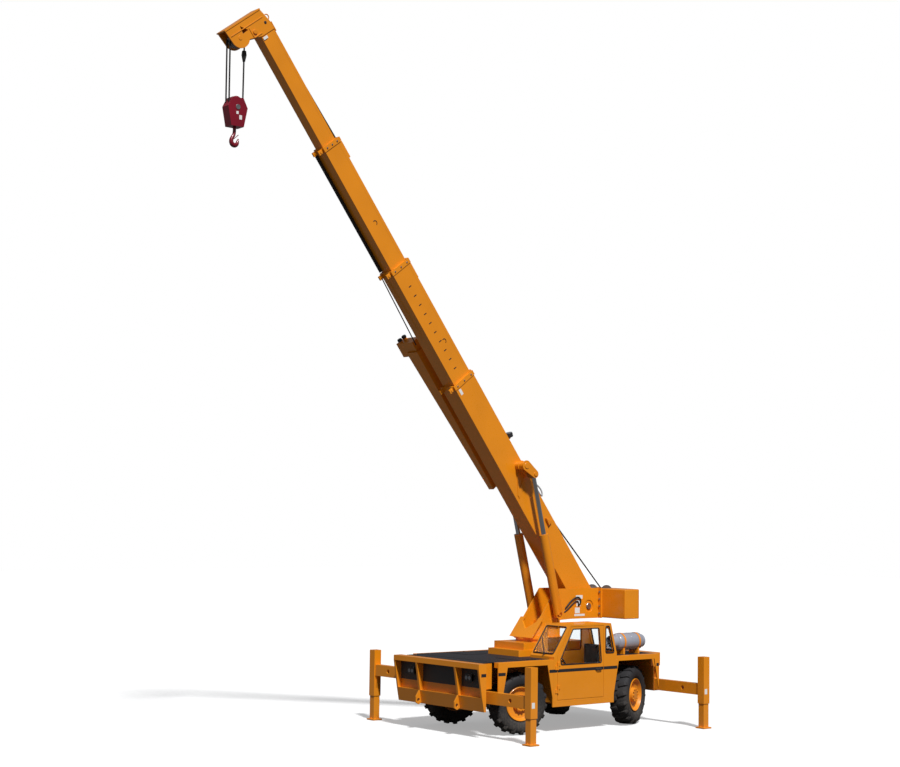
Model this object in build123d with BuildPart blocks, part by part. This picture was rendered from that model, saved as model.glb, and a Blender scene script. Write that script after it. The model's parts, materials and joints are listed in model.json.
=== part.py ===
from build123d import *
from math import atan2, cos, hypot, radians, sin, sqrt
import os

# Mobile industrial crane: a four-wheel carrier with a flat deck, a low side cab, four
# box-beam outriggers and a slewing turret with a four-section telescopic boom.
# Millimetres. +X is forward, +Y is the crane's left and +Z is up. The ground is z = 0.
# The origin lies on the ground under the middle of the whole machine, boom included.
os.makedirs("parts", exist_ok=True)

# ---- Driving dimensions -----------------------------------------------------------
WHEELBASE = 2834
BODY_HALF_W = 1245
DECK_Z = 1350
SILL_Z = 480
BODY_FRONT_X = 2134
BODY_REAR_X = -2030
SHEET = 25

TYRE_R = 570
TYRE_W = 380
RIM_R = 312
WHEEL_Y = 970
KINGPIN_Y = 880
FRONT_STEER = -12
REAR_STEER = 23

LUFF = 52.5
DATUM_X = -940
DATUM_Z = 2260
SLEW_X = 40

OUTRIGGER_FRONT_X = 2262
OUTRIGGER_REAR_X = -2188
FOOT_Y = 2266
POST_TOP_Z = 1355
POST_BOTTOM_Z = 470
POST_W = 160
BEAM_H = 215
BEAM_W = 120
LEFT_BEAM_Z = 735
RIGHT_BEAM_Z = 970
MOVING_GAP = 5
RUNNING_GAP = 0.5
PIN_GAP = 0.1

# ---- Boom sections, in the boom's own frame: x along it, z square to it --------------
BOOM_WALL = 10
BOOM_END = 12700
SECTIONS = (
    # name, width, underside, top, rear end, front end
    ("boom_base", 380, -130, 410, -250, 5300),
    ("boom_2", 324, -90, 382, 2650, 7800),
    ("boom_3", 272, -58, 342, 5250, 10370),
    ("boom_4", 220, -42, 284, 7600, BOOM_END),
)
PIVOT_ALONG = -95
PIVOT_UP = 104
HEAD_SHEAVE_ALONG = BOOM_END + 50
HEAD_SHEAVE_DROP = -450
HEAD_SHEAVE_R = 150
HEAD_PIN_R = 35
HEAD_NOSE_ALONG = BOOM_END + 300
HEAD_NOSE_DROP = -670
PIN_ALONG = 2920
PIN_UP = 370

# ---- Where the machine's middle stands in the frame -----------------------------------
# The frame's origin is midway between the rear outrigger feet and the boom head's nose.
FOOT_W = 215
luff = radians(LUFF)
rear_extent = OUTRIGGER_REAR_X - FOOT_W / 2
front_extent = DATUM_X + HEAD_NOSE_ALONG * cos(luff) - HEAD_NOSE_DROP * sin(luff)
MACHINE_X = -(rear_extent + front_extent) / 2

machine = Plane(origin=(MACHINE_X, 0, 0))
side = Plane(origin=(MACHINE_X, 0, 0), x_dir=(1, 0, 0), z_dir=(0, -1, 0))
across = Plane(origin=(MACHINE_X, 0, 0), x_dir=(0, 1, 0), z_dir=(1, 0, 0))
boom_frame = Plane(
    origin=(MACHINE_X + DATUM_X, 0, DATUM_Z),
    x_dir=(cos(luff), 0, sin(luff)),
    z_dir=(-sin(luff), 0, cos(luff)),
)
boom_side = Plane(
    origin=(MACHINE_X + DATUM_X, 0, DATUM_Z),
    x_dir=(cos(luff), 0, sin(luff)),
    z_dir=(0, -1, 0),
)


def boom_point(along, up):
    """Machine x and z of a point given in the boom's own frame."""
    x = DATUM_X + along * cos(luff) - up * sin(luff)
    z = DATUM_Z + along * sin(luff) + up * cos(luff)
    return x, z


# =====================================================================================
# CARRIER
# =====================================================================================
RAIL_Y = 400
RAIL_W = 90
RAIL_LOW_Z = 640
RAIL_TOP_Z = 920
CROSS_MEMBERS_X = (-760, -350, 350, 760)
BOX_WALL = 12
BOX_LENGTH = BEAM_W + 2 * (MOVING_GAP + BOX_WALL)
BOX_END_Y = 1030
BOX_LOW_Z = LEFT_BEAM_Z - BEAM_H / 2 - MOVING_GAP - BOX_WALL
BOX_TOP_Z = RIGHT_BEAM_Z + BEAM_H / 2 + MOVING_GAP + BOX_WALL
BOX_H = BOX_TOP_Z - BOX_LOW_Z
PAD_L = 90
PAD_T = MOVING_GAP - RUNNING_GAP
LOW_BEAM_X = 600
CAB_FLOOR_Z = 560

# Ladder frame: two rails, cross members and the twin outrigger boxes at its ends.
with BuildPart(machine) as chassis_frame:
    rail_length = OUTRIGGER_FRONT_X - OUTRIGGER_REAR_X - BOX_LENGTH
    rail_mid_x = (OUTRIGGER_FRONT_X + OUTRIGGER_REAR_X) / 2
    with Locations(
        (rail_mid_x, RAIL_Y, (RAIL_LOW_Z + RAIL_TOP_Z) / 2),
        (rail_mid_x, -RAIL_Y, (RAIL_LOW_Z + RAIL_TOP_Z) / 2),
    ):
        Box(rail_length, RAIL_W, RAIL_TOP_Z - RAIL_LOW_Z)
    for member_x in CROSS_MEMBERS_X:
        with Locations((member_x, 0, RAIL_TOP_Z)):
            Box(80, 2 * RAIL_Y, 160, align=(Align.CENTER, Align.CENTER, Align.MAX))
    for box_x in (OUTRIGGER_FRONT_X, OUTRIGGER_REAR_X):
        with Locations((box_x, 0, BOX_LOW_Z)):
            Box(BOX_LENGTH, 2 * BOX_END_Y, BOX_H, align=(Align.CENTER, Align.CENTER, Align.MIN))
        # One channel for each beam, the right one's over the left one's, with wear pads
        # above and below the beam at both of its mouths.
        for beam_z in (LEFT_BEAM_Z, RIGHT_BEAM_Z):
            with Locations((box_x, 0, beam_z)):
                Box(
                    BEAM_W + 2 * MOVING_GAP,
                    2 * BOX_END_Y + 2,
                    BEAM_H + 2 * MOVING_GAP,
                    mode=Mode.SUBTRACT,
                )
            pad_up = (BEAM_H + PAD_T) / 2 + RUNNING_GAP
            pad_out = BOX_END_Y - PAD_L / 2
            with Locations(
                (box_x, pad_out, beam_z + pad_up),
                (box_x, pad_out, beam_z - pad_up),
                (box_x, -pad_out, beam_z + pad_up),
                (box_x, -pad_out, beam_z - pad_up),
            ):
                Box(BEAM_W, PAD_L, PAD_T)
    # Low cross beams that carry the cab and the side tank, hung under the rails.
    for beam_x in (-LOW_BEAM_X, LOW_BEAM_X):
        with Locations((beam_x, 0, CAB_FLOOR_Z - 20)):
            Box(80, 2 * (BODY_HALF_W - SHEET), 40)
        for hand in (1, -1):
            with Locations((beam_x, hand * RAIL_Y, (CAB_FLOOR_Z + RAIL_LOW_Z) / 2)):
                Box(80, RAIL_W, RAIL_LOW_Z - CAB_FLOOR_Z)
chassis_frame.part.label = "chassis_frame"
export_step(chassis_frame.part, "parts/chassis_frame.step")

# Side bodies: a thin outer panel with wheel openings, and a rail along the deck's edge.
ARCH_TOP_Z = 1262
ARCH_KNEE_Z = 640
ARCH_TOP_HALF = 490
ARCH_LOW_HALF = 622
RAIL_DEPTH = 95
CAB_FRONT_X = 770
CAB_REAR_X = -870
CAB_LOW_REAR_X = -780
CAB_KNEE_Z = 1240
CAB_INNER_Y = 590
CAB_OUTLINE_BELOW_DECK = (
    (CAB_LOW_REAR_X, CAB_FLOOR_Z),
    (CAB_LOW_REAR_X, CAB_KNEE_Z),
    (CAB_REAR_X, CAB_KNEE_Z + 50),
    (CAB_REAR_X, DECK_Z + 10),
    (CAB_FRONT_X, DECK_Z + 10),
    (CAB_FRONT_X, CAB_FLOOR_Z),
)

with BuildPart() as body_sides:
    for hand in (1, -1):
        panel_plane = side.offset(-hand * (BODY_HALF_W - SHEET / 2))
        with BuildSketch(panel_plane) as outline:
            with BuildLine():
                Polyline(
                    (BODY_FRONT_X, SILL_Z + 230),
                    (BODY_FRONT_X, DECK_Z),
                    (BODY_REAR_X, DECK_Z),
                    (BODY_REAR_X, SILL_Z),
                    (BODY_FRONT_X - 230, SILL_Z),
                    close=True,
                )
            make_face()
            for axle_x in (WHEELBASE / 2, -WHEELBASE / 2):
                with BuildLine():
                    Polyline(
                        (axle_x - ARCH_LOW_HALF, SILL_Z - 50),
                        (axle_x - ARCH_LOW_HALF, ARCH_KNEE_Z),
                        (axle_x - ARCH_TOP_HALF, ARCH_TOP_Z),
                        (axle_x + ARCH_TOP_HALF, ARCH_TOP_Z),
                        (axle_x + ARCH_LOW_HALF, ARCH_KNEE_Z),
                        (axle_x + ARCH_LOW_HALF, SILL_Z - 50),
                        close=True,
                    )
                make_face(mode=Mode.SUBTRACT)
        extrude(amount=SHEET / 2, both=True)
    with Locations(machine.location):
        for hand in (1, -1):
            with Locations(
                (
                    (BODY_FRONT_X + BODY_REAR_X) / 2,
                    hand * (BODY_HALF_W - 60),
                    DECK_Z - RAIL_DEPTH / 2,
                )
            ):
                Box(BODY_FRONT_X - BODY_REAR_X, 120, RAIL_DEPTH)
    with BuildSketch(side.offset(-(BODY_HALF_W - 120))):
        with BuildLine():
            Polyline(*CAB_OUTLINE_BELOW_DECK, close=True)
        make_face()
    extrude(amount=-240, mode=Mode.SUBTRACT)
body_sides.part.label = "body_sides"
export_step(body_sides.part, "parts/body_sides.step")

# Deck: one plate over the frame with a well for the cab and a hole for the pedestal.
DECK_SHEET = 12
TREAD_PLATE = 4
FRONT_DECK_HALF_W = 1070
BUMPER_REAR_X = 2420
PEDESTAL_FRONT_X = 930
PEDESTAL_REAR_X = -970
PEDESTAL_HALF_W = 440
PEDESTAL_TOP_Z = 1470
DECK_HALF_W = BODY_HALF_W - 120
BEARERS_X = (-1990, -960, 890, 2070)
BEARER_H = 50

with BuildPart(machine) as deck:
    with Locations(((BODY_FRONT_X + BODY_REAR_X) / 2, 0, DECK_Z - DECK_SHEET / 2)):
        Box(BODY_FRONT_X - BODY_REAR_X, 2 * DECK_HALF_W, DECK_SHEET)
    with Locations(((PEDESTAL_FRONT_X + PEDESTAL_REAR_X) / 2, 0, DECK_Z)):
        Box(
            PEDESTAL_FRONT_X - PEDESTAL_REAR_X,
            2 * PEDESTAL_HALF_W,
            4 * DECK_SHEET,
            mode=Mode.SUBTRACT,
        )
    # Narrower plate and its side walls over the front outrigger box, up to the bumper.
    with Locations(((BODY_FRONT_X + BUMPER_REAR_X) / 2, 0, DECK_Z)):
        Box(
            BUMPER_REAR_X - BODY_FRONT_X,
            2 * FRONT_DECK_HALF_W,
            DECK_SHEET,
            align=(Align.CENTER, Align.CENTER, Align.MAX),
        )
    for hand in (1, -1):
        with Locations(((BODY_FRONT_X + BUMPER_REAR_X) / 2, hand * BOX_END_Y, DECK_Z)):
            Box(
                BUMPER_REAR_X - BODY_FRONT_X,
                2 * DECK_SHEET,
                DECK_Z - BOX_TOP_Z,
                align=(Align.CENTER, Align.MAX if hand > 0 else Align.MIN, Align.MAX),
            )
    # Tread plate over the deck in front of the pedestal.
    with Locations(((PEDESTAL_FRONT_X + BODY_FRONT_X) / 2, 0, DECK_Z)):
        Box(
            BODY_FRONT_X - PEDESTAL_FRONT_X,
            2 * DECK_HALF_W,
            TREAD_PLATE,
            align=(Align.CENTER, Align.CENTER, Align.MIN),
        )
    # Bearers under the plate, between the side rails and the pedestal or cab.
    for bearer_x in BEARERS_X:
        for hand in (1, -1):
            with Locations(
                (
                    bearer_x,
                    hand * (PEDESTAL_HALF_W + DECK_HALF_W) / 2,
                    DECK_Z - DECK_SHEET - BEARER_H / 2,
                )
            ):
                Box(60, DECK_HALF_W - PEDESTAL_HALF_W, BEARER_H)
    with Locations(((CAB_FRONT_X + CAB_REAR_X) / 2, (CAB_INNER_Y + BODY_HALF_W) / 2, DECK_Z)):
        Box(
            CAB_FRONT_X - CAB_REAR_X,
            BODY_HALF_W - CAB_INNER_Y,
            8 * DECK_SHEET,
            mode=Mode.SUBTRACT,
        )
deck.part.label = "deck"
export_step(deck.part, "parts/deck.step")

# Pedestal: the fixed box under the slew ring, stepped at its top.
STEP_FRONT_X = 790
STEP_REAR_X = -830
STEP_TOP_Z = 1600
SLEW_RING_R = 430
SLEW_RING_TOP_Z = 1650

with BuildPart(machine) as pedestal:
    with Locations(
        (
            (PEDESTAL_FRONT_X + PEDESTAL_REAR_X) / 2,
            0,
            (RAIL_TOP_Z + PEDESTAL_TOP_Z) / 2,
        )
    ):
        Box(
            PEDESTAL_FRONT_X - PEDESTAL_REAR_X,
            2 * PEDESTAL_HALF_W,
            PEDESTAL_TOP_Z - RAIL_TOP_Z,
        )
    with Locations(
        ((STEP_FRONT_X + STEP_REAR_X) / 2, 0, (PEDESTAL_TOP_Z + STEP_TOP_Z) / 2)
    ):
        Box(STEP_FRONT_X - STEP_REAR_X, 2 * PEDESTAL_HALF_W - 30, STEP_TOP_Z - PEDESTAL_TOP_Z)
    with Locations((SLEW_X, 0, STEP_TOP_Z)):
        Cylinder(SLEW_RING_R, SLEW_RING_TOP_Z - STEP_TOP_Z, align=(Align.CENTER, Align.CENTER, Align.MIN))
pedestal.part.label = "pedestal"
export_step(pedestal.part, "parts/pedestal.step")

# Front bumper: a deep box with three lamp recesses, slanted ribs and a tow-lug box.
BUMPER_TOP_FRONT_X = 2600
BUMPER_LOW_FRONT_X = 2465
BUMPER_TOP_Z = 1345
BUMPER_LOW_Z = 490
RECESS_LOW_Z = 740
RECESS_TOP_Z = 1250
RECESS_BACK_X = 2440
LUG_Y = 560
RIB_T = 50
END_T = 40
OUTER_RECESS_W = BODY_HALF_W - END_T - LUG_Y - RIB_T / 2
OUTER_RECESS_Y = LUG_Y + RIB_T / 2 + OUTER_RECESS_W / 2
RECESSES = (
    # middle y, width
    (OUTER_RECESS_Y, OUTER_RECESS_W),
    (0, 2 * LUG_Y - RIB_T),
    (-OUTER_RECESS_Y, OUTER_RECESS_W),
)
LUG_HOLE_R = 32
LUG_HOLE_X = 2540
LUG_HOLE_Z = 560

with BuildPart() as front_bumper:
    with BuildSketch(side) as bumper_profile:
        with BuildLine():
            Polyline(
                (BUMPER_REAR_X, BUMPER_LOW_Z),
                (BUMPER_REAR_X, BUMPER_TOP_Z),
                (BUMPER_TOP_FRONT_X, BUMPER_TOP_Z),
                (BUMPER_TOP_FRONT_X, RECESS_TOP_Z),
                (BUMPER_LOW_FRONT_X + 50, RECESS_LOW_Z),
                (BUMPER_LOW_FRONT_X, BUMPER_LOW_Z),
                close=True,
            )
        make_face()
    extrude(amount=BODY_HALF_W, both=True)
    with Locations(machine.location):
        for recess_y, recess_w in RECESSES:
            with Locations(
                (
                    RECESS_BACK_X + 200,
                    recess_y,
                    (RECESS_LOW_Z + RECESS_TOP_Z) / 2,
                )
            ):
                Box(400, recess_w, RECESS_TOP_Z - RECESS_LOW_Z, mode=Mode.SUBTRACT)
    for hand in (1, -1):
        with BuildSketch(side.offset(hand * LUG_Y)) as lug_outline:
            with BuildLine():
                Polyline(
                    (BUMPER_LOW_FRONT_X - 20, RECESS_LOW_Z),
                    (BUMPER_LOW_FRONT_X + 52, RECESS_LOW_Z),
                    (BUMPER_LOW_FRONT_X + 130, LUG_HOLE_Z + 60),
                    (BUMPER_LOW_FRONT_X + 130, LUG_HOLE_Z - 50),
                    (BUMPER_LOW_FRONT_X + 70, LUG_HOLE_Z - 85),
                    (BUMPER_LOW_FRONT_X - 20, LUG_HOLE_Z - 40),
                    close=True,
                )
            make_face()
            with Locations((LUG_HOLE_X, LUG_HOLE_Z)):
                Circle(LUG_HOLE_R, mode=Mode.SUBTRACT)
        extrude(amount=15, both=True)
    with Locations(machine.location):
        for hand in (1, -1):
            with Locations((BUMPER_REAR_X, hand * RAIL_Y, BOX_LOW_Z)):
                Box(
                    BUMPER_REAR_X - OUTRIGGER_FRONT_X - BOX_LENGTH / 2,
                    RAIL_W,
                    BOX_H,
                    align=(Align.MAX, Align.CENTER, Align.MIN),
                )
front_bumper.part.label = "front_bumper"
export_step(front_bumper.part, "parts/front_bumper.step")

# Dark panels on the recesses' backs, and the two headlamps on the outer ones.
PANEL_T = 6
PANEL_LOW_Z = 900
LAMP_W = 170
LAMP_H = 110
LAMP_DEPTH = 55
with BuildPart(machine) as lamp_panels:
    for recess_y, recess_w in RECESSES:
        with Locations((RECESS_BACK_X, recess_y, (PANEL_LOW_Z + RECESS_TOP_Z) / 2)):
            Box(
                PANEL_T,
                recess_w,
                RECESS_TOP_Z - PANEL_LOW_Z,
                align=(Align.MIN, Align.CENTER, Align.CENTER),
            )
lamp_panels.part.label = "lamp_panels"
export_step(lamp_panels.part, "parts/lamp_panels.step")

with BuildPart(machine) as headlamps:
    for hand in (1, -1):
        with Locations(
            (RECESS_BACK_X + PANEL_T, hand * (OUTER_RECESS_Y - 60), (PANEL_LOW_Z + RECESS_TOP_Z) / 2)
        ):
            Box(LAMP_DEPTH, LAMP_W, LAMP_H, align=(Align.MIN, Align.CENTER, Align.CENTER))
    fillet(headlamps.edges().filter_by(Axis.X), radius=18)
headlamps.part.label = "headlamps"
export_step(headlamps.part, "parts/headlamps.step")

# Rear end: the narrow body behind the rear outriggers, with a grille opening.
REAR_END_X = -2290
REAR_END_HALF_W = 1030
GRILLE_Z = 1222
GRILLE_W = 900
GRILLE_H = 190
GRILLE_DEPTH = 40
GRILLE_SLATS = 6

with BuildPart(machine) as rear_end:
    with Locations(((REAR_END_X + BODY_REAR_X) / 2, 0, DECK_Z)):
        Box(
            BODY_REAR_X - REAR_END_X,
            2 * REAR_END_HALF_W,
            DECK_Z - BOX_TOP_Z,
            align=(Align.CENTER, Align.CENTER, Align.MAX),
        )
    with Locations((REAR_END_X, 0, GRILLE_Z)):
        Box(2 * GRILLE_DEPTH, GRILLE_W, GRILLE_H, mode=Mode.SUBTRACT)
    for slat in range(GRILLE_SLATS):
        slat_z = GRILLE_Z + GRILLE_H * ((slat + 0.5) / GRILLE_SLATS - 0.5)
        with Locations(Location((REAR_END_X + GRILLE_DEPTH / 2 + 2, 0, slat_z), (0, 30, 0))):
            Box(GRILLE_DEPTH / 2, GRILLE_W + 4, 6)
rear_end.part.label = "rear_end"
export_step(rear_end.part, "parts/rear_end.step")

with BuildPart(machine) as engine_block:
    with Locations((-1420, 0, 1080)):
        Box(900, 560, 480)
    with Locations((-1750, 0, 890), (-1120, 0, 890)):
        Box(90, 2 * RAIL_Y - RAIL_W, 80)
engine_block.part.label = "engine_block"
export_step(engine_block.part, "parts/engine_block.step")

# Tank behind the right centre panel, on the low cross beams.
with BuildPart(machine) as side_tank:
    with Locations((0, -(BODY_HALF_W - SHEET + 520) / 2, CAB_FLOOR_Z)):
        Box(
            1480,
            BODY_HALF_W - SHEET - 520,
            520,
            align=(Align.CENTER, Align.CENTER, Align.MIN),
        )
side_tank.part.label = "side_tank"
export_step(side_tank.part, "parts/side_tank.step")

# ---- Cab ------------------------------------------------------------------------------
CAB_ROOF_Z = 1980
CAB_WALL = 40
DOOR_FRONT_X = 680
DOOR_REAR_X = -520
DOOR_SILL_Z = 600
DOOR_TOP_Z = 1945
DOOR_PANE_Z = 1250
SCREEN_LOW_X = 760
SCREEN_TOP_X = 360
SCREEN_LOW_Z = 1400
CAB_BACK_TOP_X = -710
PILLAR_W = 50
DOOR_GAP = 6
HINGE_X = DOOR_FRONT_X - DOOR_GAP / 2
HINGE_Y = BODY_HALF_W + 16
HINGE_R = 14
HINGE_L = 70
HINGES_Z = (800, 1230)


def screen_x(z):
    """X of the cab's sloping front at height z."""
    run = (z - SCREEN_LOW_Z) / (CAB_ROOF_Z - SCREEN_LOW_Z)
    return CAB_FRONT_X + run * (SCREEN_TOP_X - CAB_FRONT_X)


with BuildPart() as cab_shell:
    with BuildSketch(side.offset(-(CAB_INNER_Y + BODY_HALF_W) / 2)) as cab_outline:
        with BuildLine():
            Polyline(
                (CAB_LOW_REAR_X, CAB_FLOOR_Z),
                (CAB_LOW_REAR_X, CAB_KNEE_Z),
                (CAB_REAR_X, CAB_KNEE_Z + 50),
                (CAB_REAR_X, SCREEN_LOW_Z),
                (CAB_BACK_TOP_X, CAB_ROOF_Z),
                (SCREEN_TOP_X, CAB_ROOF_Z),
                (CAB_FRONT_X, SCREEN_LOW_Z),
                (CAB_FRONT_X, CAB_FLOOR_Z),
                close=True,
            )
        make_face()
    extrude(amount=(BODY_HALF_W - CAB_INNER_Y) / 2, both=True)
    with BuildSketch(side.offset(-(CAB_INNER_Y + BODY_HALF_W) / 2)) as cab_inside:
        with BuildLine():
            Polyline(
                (CAB_LOW_REAR_X + CAB_WALL, CAB_FLOOR_Z + CAB_WALL),
                (CAB_LOW_REAR_X + CAB_WALL, CAB_KNEE_Z + 30),
                (CAB_REAR_X + CAB_WALL, CAB_KNEE_Z + 80),
                (CAB_REAR_X + CAB_WALL, SCREEN_LOW_Z - 5),
                (CAB_BACK_TOP_X + CAB_WALL, CAB_ROOF_Z - CAB_WALL),
                (SCREEN_TOP_X - CAB_WALL + 10, CAB_ROOF_Z - CAB_WALL),
                (CAB_FRONT_X - CAB_WALL, SCREEN_LOW_Z - 10),
                (CAB_FRONT_X - CAB_WALL, CAB_FLOOR_Z + CAB_WALL),
                close=True,
            )
        make_face()
    extrude(amount=(BODY_HALF_W - CAB_INNER_Y) / 2 - CAB_WALL, both=True, mode=Mode.SUBTRACT)
    # Door opening on the left wall.
    with BuildSketch(side.offset(-BODY_HALF_W)) as door_hole:
        with BuildLine():
            Polyline(
                (DOOR_REAR_X, DOOR_SILL_Z),
                (DOOR_REAR_X, DOOR_TOP_Z),
                (screen_x(DOOR_TOP_Z) - PILLAR_W, DOOR_TOP_Z),
                (DOOR_FRONT_X, SCREEN_LOW_Z),
                (DOOR_FRONT_X, DOOR_SILL_Z),
                close=True,
            )
        make_face()
    extrude(amount=CAB_WALL + 2, both=True, mode=Mode.SUBTRACT)
    # Windscreen, right window, rear quarter window and rear window.
    screen_mid = ((CAB_FRONT_X + SCREEN_TOP_X) / 2, (SCREEN_LOW_Z + CAB_ROOF_Z) / 2)
    screen_slope = atan2(CAB_ROOF_Z - SCREEN_LOW_Z, SCREEN_TOP_X - CAB_FRONT_X)
    screen_plane = Plane(
        origin=(
            MACHINE_X + screen_mid[0],
            (CAB_INNER_Y + BODY_HALF_W) / 2,
            screen_mid[1],
        ),
        x_dir=(0, 1, 0),
        z_dir=(sin(screen_slope), 0, -cos(screen_slope)),
    )
    with BuildSketch(screen_plane):
        RectangleRounded(BODY_HALF_W - CAB_INNER_Y - 110, 590, 40)
    extrude(amount=70, both=True, mode=Mode.SUBTRACT)
    with BuildSketch(side.offset(-CAB_INNER_Y)):
        with Locations((-90, 1660)):
            RectangleRounded(900, 440, 40)
    extrude(amount=CAB_WALL + 2, both=True, mode=Mode.SUBTRACT)
    with BuildSketch(side.offset(-BODY_HALF_W)):
        with BuildLine():
            Polyline(
                (CAB_REAR_X + 70, SCREEN_LOW_Z + 20),
                (CAB_BACK_TOP_X + 50, DOOR_TOP_Z - 20),
                (DOOR_REAR_X - 50, DOOR_TOP_Z - 20),
                (DOOR_REAR_X - 50, SCREEN_LOW_Z + 20),
                close=True,
            )
        make_face()
    extrude(amount=CAB_WALL + 2, both=True, mode=Mode.SUBTRACT)
    with BuildSketch(across.offset(CAB_REAR_X)):
        with Locations(((CAB_INNER_Y + BODY_HALF_W) / 2, 1660)):
            RectangleRounded(BODY_HALF_W - CAB_INNER_Y - 120, 440, 40)
    extrude(amount=220, both=True, mode=Mode.SUBTRACT)
    # Fixed halves of the two door hinges.
    for hinge_z in HINGES_Z:
        with Locations((MACHINE_X + HINGE_X, HINGE_Y, hinge_z - HINGE_L / 2)):
            Cylinder(HINGE_R, HINGE_L)
        with Locations((MACHINE_X + HINGE_X + 30, BODY_HALF_W + 6, hinge_z - HINGE_L / 2)):
            Box(60, 12, HINGE_L)
cab_shell.part.label = "cab_shell"
export_step(cab_shell.part, "parts/cab_shell.step")

# Door: one thick leaf with its window cut, hinged at its front edge.
with BuildPart() as cab_door:
    with BuildSketch(side.offset(-(BODY_HALF_W - CAB_WALL / 2))) as door_leaf:
        with BuildLine():
            Polyline(
                (DOOR_REAR_X + DOOR_GAP, DOOR_SILL_Z + DOOR_GAP),
                (DOOR_REAR_X + DOOR_GAP, DOOR_TOP_Z - DOOR_GAP),
                (screen_x(DOOR_TOP_Z) - PILLAR_W - 2 * DOOR_GAP, DOOR_TOP_Z - DOOR_GAP),
                (DOOR_FRONT_X - DOOR_GAP, SCREEN_LOW_Z - DOOR_GAP),
                (DOOR_FRONT_X - DOOR_GAP, DOOR_SILL_Z + DOOR_GAP),
                close=True,
            )
        make_face()
        with BuildLine():
            Polyline(
                (DOOR_REAR_X + 60, DOOR_PANE_Z),
                (DOOR_REAR_X + 130, DOOR_TOP_Z - 50),
                (screen_x(DOOR_TOP_Z) - PILLAR_W - 60, DOOR_TOP_Z - 50),
                (DOOR_FRONT_X - 80, 1350),
                (DOOR_FRONT_X - 90, DOOR_PANE_Z),
                close=True,
            )
        make_face(mode=Mode.SUBTRACT)
    extrude(amount=CAB_WALL / 2, both=True)
    for hinge_z in HINGES_Z:
        with Locations((MACHINE_X + HINGE_X, HINGE_Y, hinge_z + HINGE_L / 2 + RUNNING_GAP)):
            Cylinder(HINGE_R, HINGE_L)
        with Locations(
            (MACHINE_X + HINGE_X - 30, BODY_HALF_W + 6, hinge_z + HINGE_L / 2 + RUNNING_GAP)
        ):
            Box(60, 12, HINGE_L)
cab_door.part.label = "cab_door"
export_step(cab_door.part, "parts/cab_door.step")

GLASS = 6
with BuildPart() as door_glass:
    with BuildSketch(side.offset(-(BODY_HALF_W - CAB_WALL / 2))):
        with BuildLine():
            Polyline(
                (DOOR_REAR_X + 60, DOOR_PANE_Z),
                (DOOR_REAR_X + 130, DOOR_TOP_Z - 50),
                (screen_x(DOOR_TOP_Z) - PILLAR_W - 60, DOOR_TOP_Z - 50),
                (DOOR_FRONT_X - 80, 1350),
                (DOOR_FRONT_X - 90, DOOR_PANE_Z),
                close=True,
            )
        make_face()
    extrude(amount=GLASS / 2, both=True)
door_glass.part.label = "door_glass"
export_step(door_glass.part, "parts/door_glass.step")

with BuildPart() as cab_glass:
    with BuildSketch(screen_plane.offset(-18)):
        RectangleRounded(BODY_HALF_W - CAB_INNER_Y - 110, 590, 40)
    extrude(amount=GLASS / 2, both=True)
    with BuildSketch(side.offset(-(CAB_INNER_Y + CAB_WALL / 2))):
        with Locations((-90, 1660)):
            RectangleRounded(900, 440, 40)
    extrude(amount=GLASS / 2, both=True)
cab_glass.part.label = "cab_glass"
export_step(cab_glass.part, "parts/cab_glass.step")

SEAT_Y = 917
with BuildPart(machine) as seat:
    with Locations((-330, SEAT_Y, 1010)):
        Box(480, 460, 110)
    with Locations((-545, SEAT_Y, 1300)):
        Box(100, 440, 560)
    with Locations((-330, SEAT_Y, 778)):
        Box(300, 320, 356)
seat.part.label = "seat"
export_step(seat.part, "parts/seat.step")

wheel_plane = Plane(
    origin=(MACHINE_X + 365, SEAT_Y, 1290),
    x_dir=(0, 1, 0),
    z_dir=(-sin(radians(50)), 0, cos(radians(50))),
)
with BuildPart(machine) as console:
    with Locations((620, SEAT_Y, 1000)):
        Box(180, 520, 240)
    with Locations((620, SEAT_Y, 740)):
        Box(60, 300, 280)
    with Locations((480, SEAT_Y, 1190)):
        Cylinder(18, 330, rotation=(0, -50, 0))
    with BuildSketch(wheel_plane):
        RegularPolygon(186, 16)
        RegularPolygon(158, 16, mode=Mode.SUBTRACT)
        Rectangle(34, 340)
    extrude(amount=11, both=True)
console.part.label = "console"
export_step(console.part, "parts/console.step")

# ---- Fuel-gas tank across the rear deck ------------------------------------------------
TANK_X = -1490
TANK_Y = 900
TANK_R = 165
TANK_LENGTH = 720
TANK_Z = 1587
COLLAR_R = 125

with BuildPart(machine) as gas_tank:
    with Locations(Location((TANK_X, TANK_Y, TANK_Z), (0, 90, 0))):
        Cylinder(TANK_R, TANK_LENGTH)
    chamfer(gas_tank.edges().filter_by(GeomType.CIRCLE), length=62, length2=40)
    # Foot ring at the rear and the open collar round the valve at the front.
    with Locations(Location((TANK_X - TANK_LENGTH / 2, TANK_Y, TANK_Z), (0, 90, 0))):
        Cylinder(COLLAR_R, 60)
    with Locations(Location((TANK_X + TANK_LENGTH / 2, TANK_Y, TANK_Z), (0, 90, 0))):
        Cylinder(COLLAR_R, 200)
        Cylinder(COLLAR_R - 8, 200, align=(Align.CENTER, Align.CENTER, Align.MIN), mode=Mode.SUBTRACT)
        Cylinder(22, 160)
gas_tank.part.label = "gas_tank"
export_step(gas_tank.part, "parts/gas_tank.step")

# Two saddles and their straps.
with BuildPart() as tank_bracket:
    for saddle_x in (TANK_X - 200, TANK_X + 200):
        with BuildSketch(across.offset(saddle_x)):
            with Locations((TANK_Y, (DECK_Z + TANK_Z) / 2 - 45)):
                Rectangle(250, TANK_Z - DECK_Z - 90)
            with Locations((TANK_Y, TANK_Z)):
                Circle(TANK_R + 5)
                Circle(TANK_R, mode=Mode.SUBTRACT)
        extrude(amount=22, both=True)
tank_bracket.part.label = "tank_bracket"
export_step(tank_bracket.part, "parts/tank_bracket.step")

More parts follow.
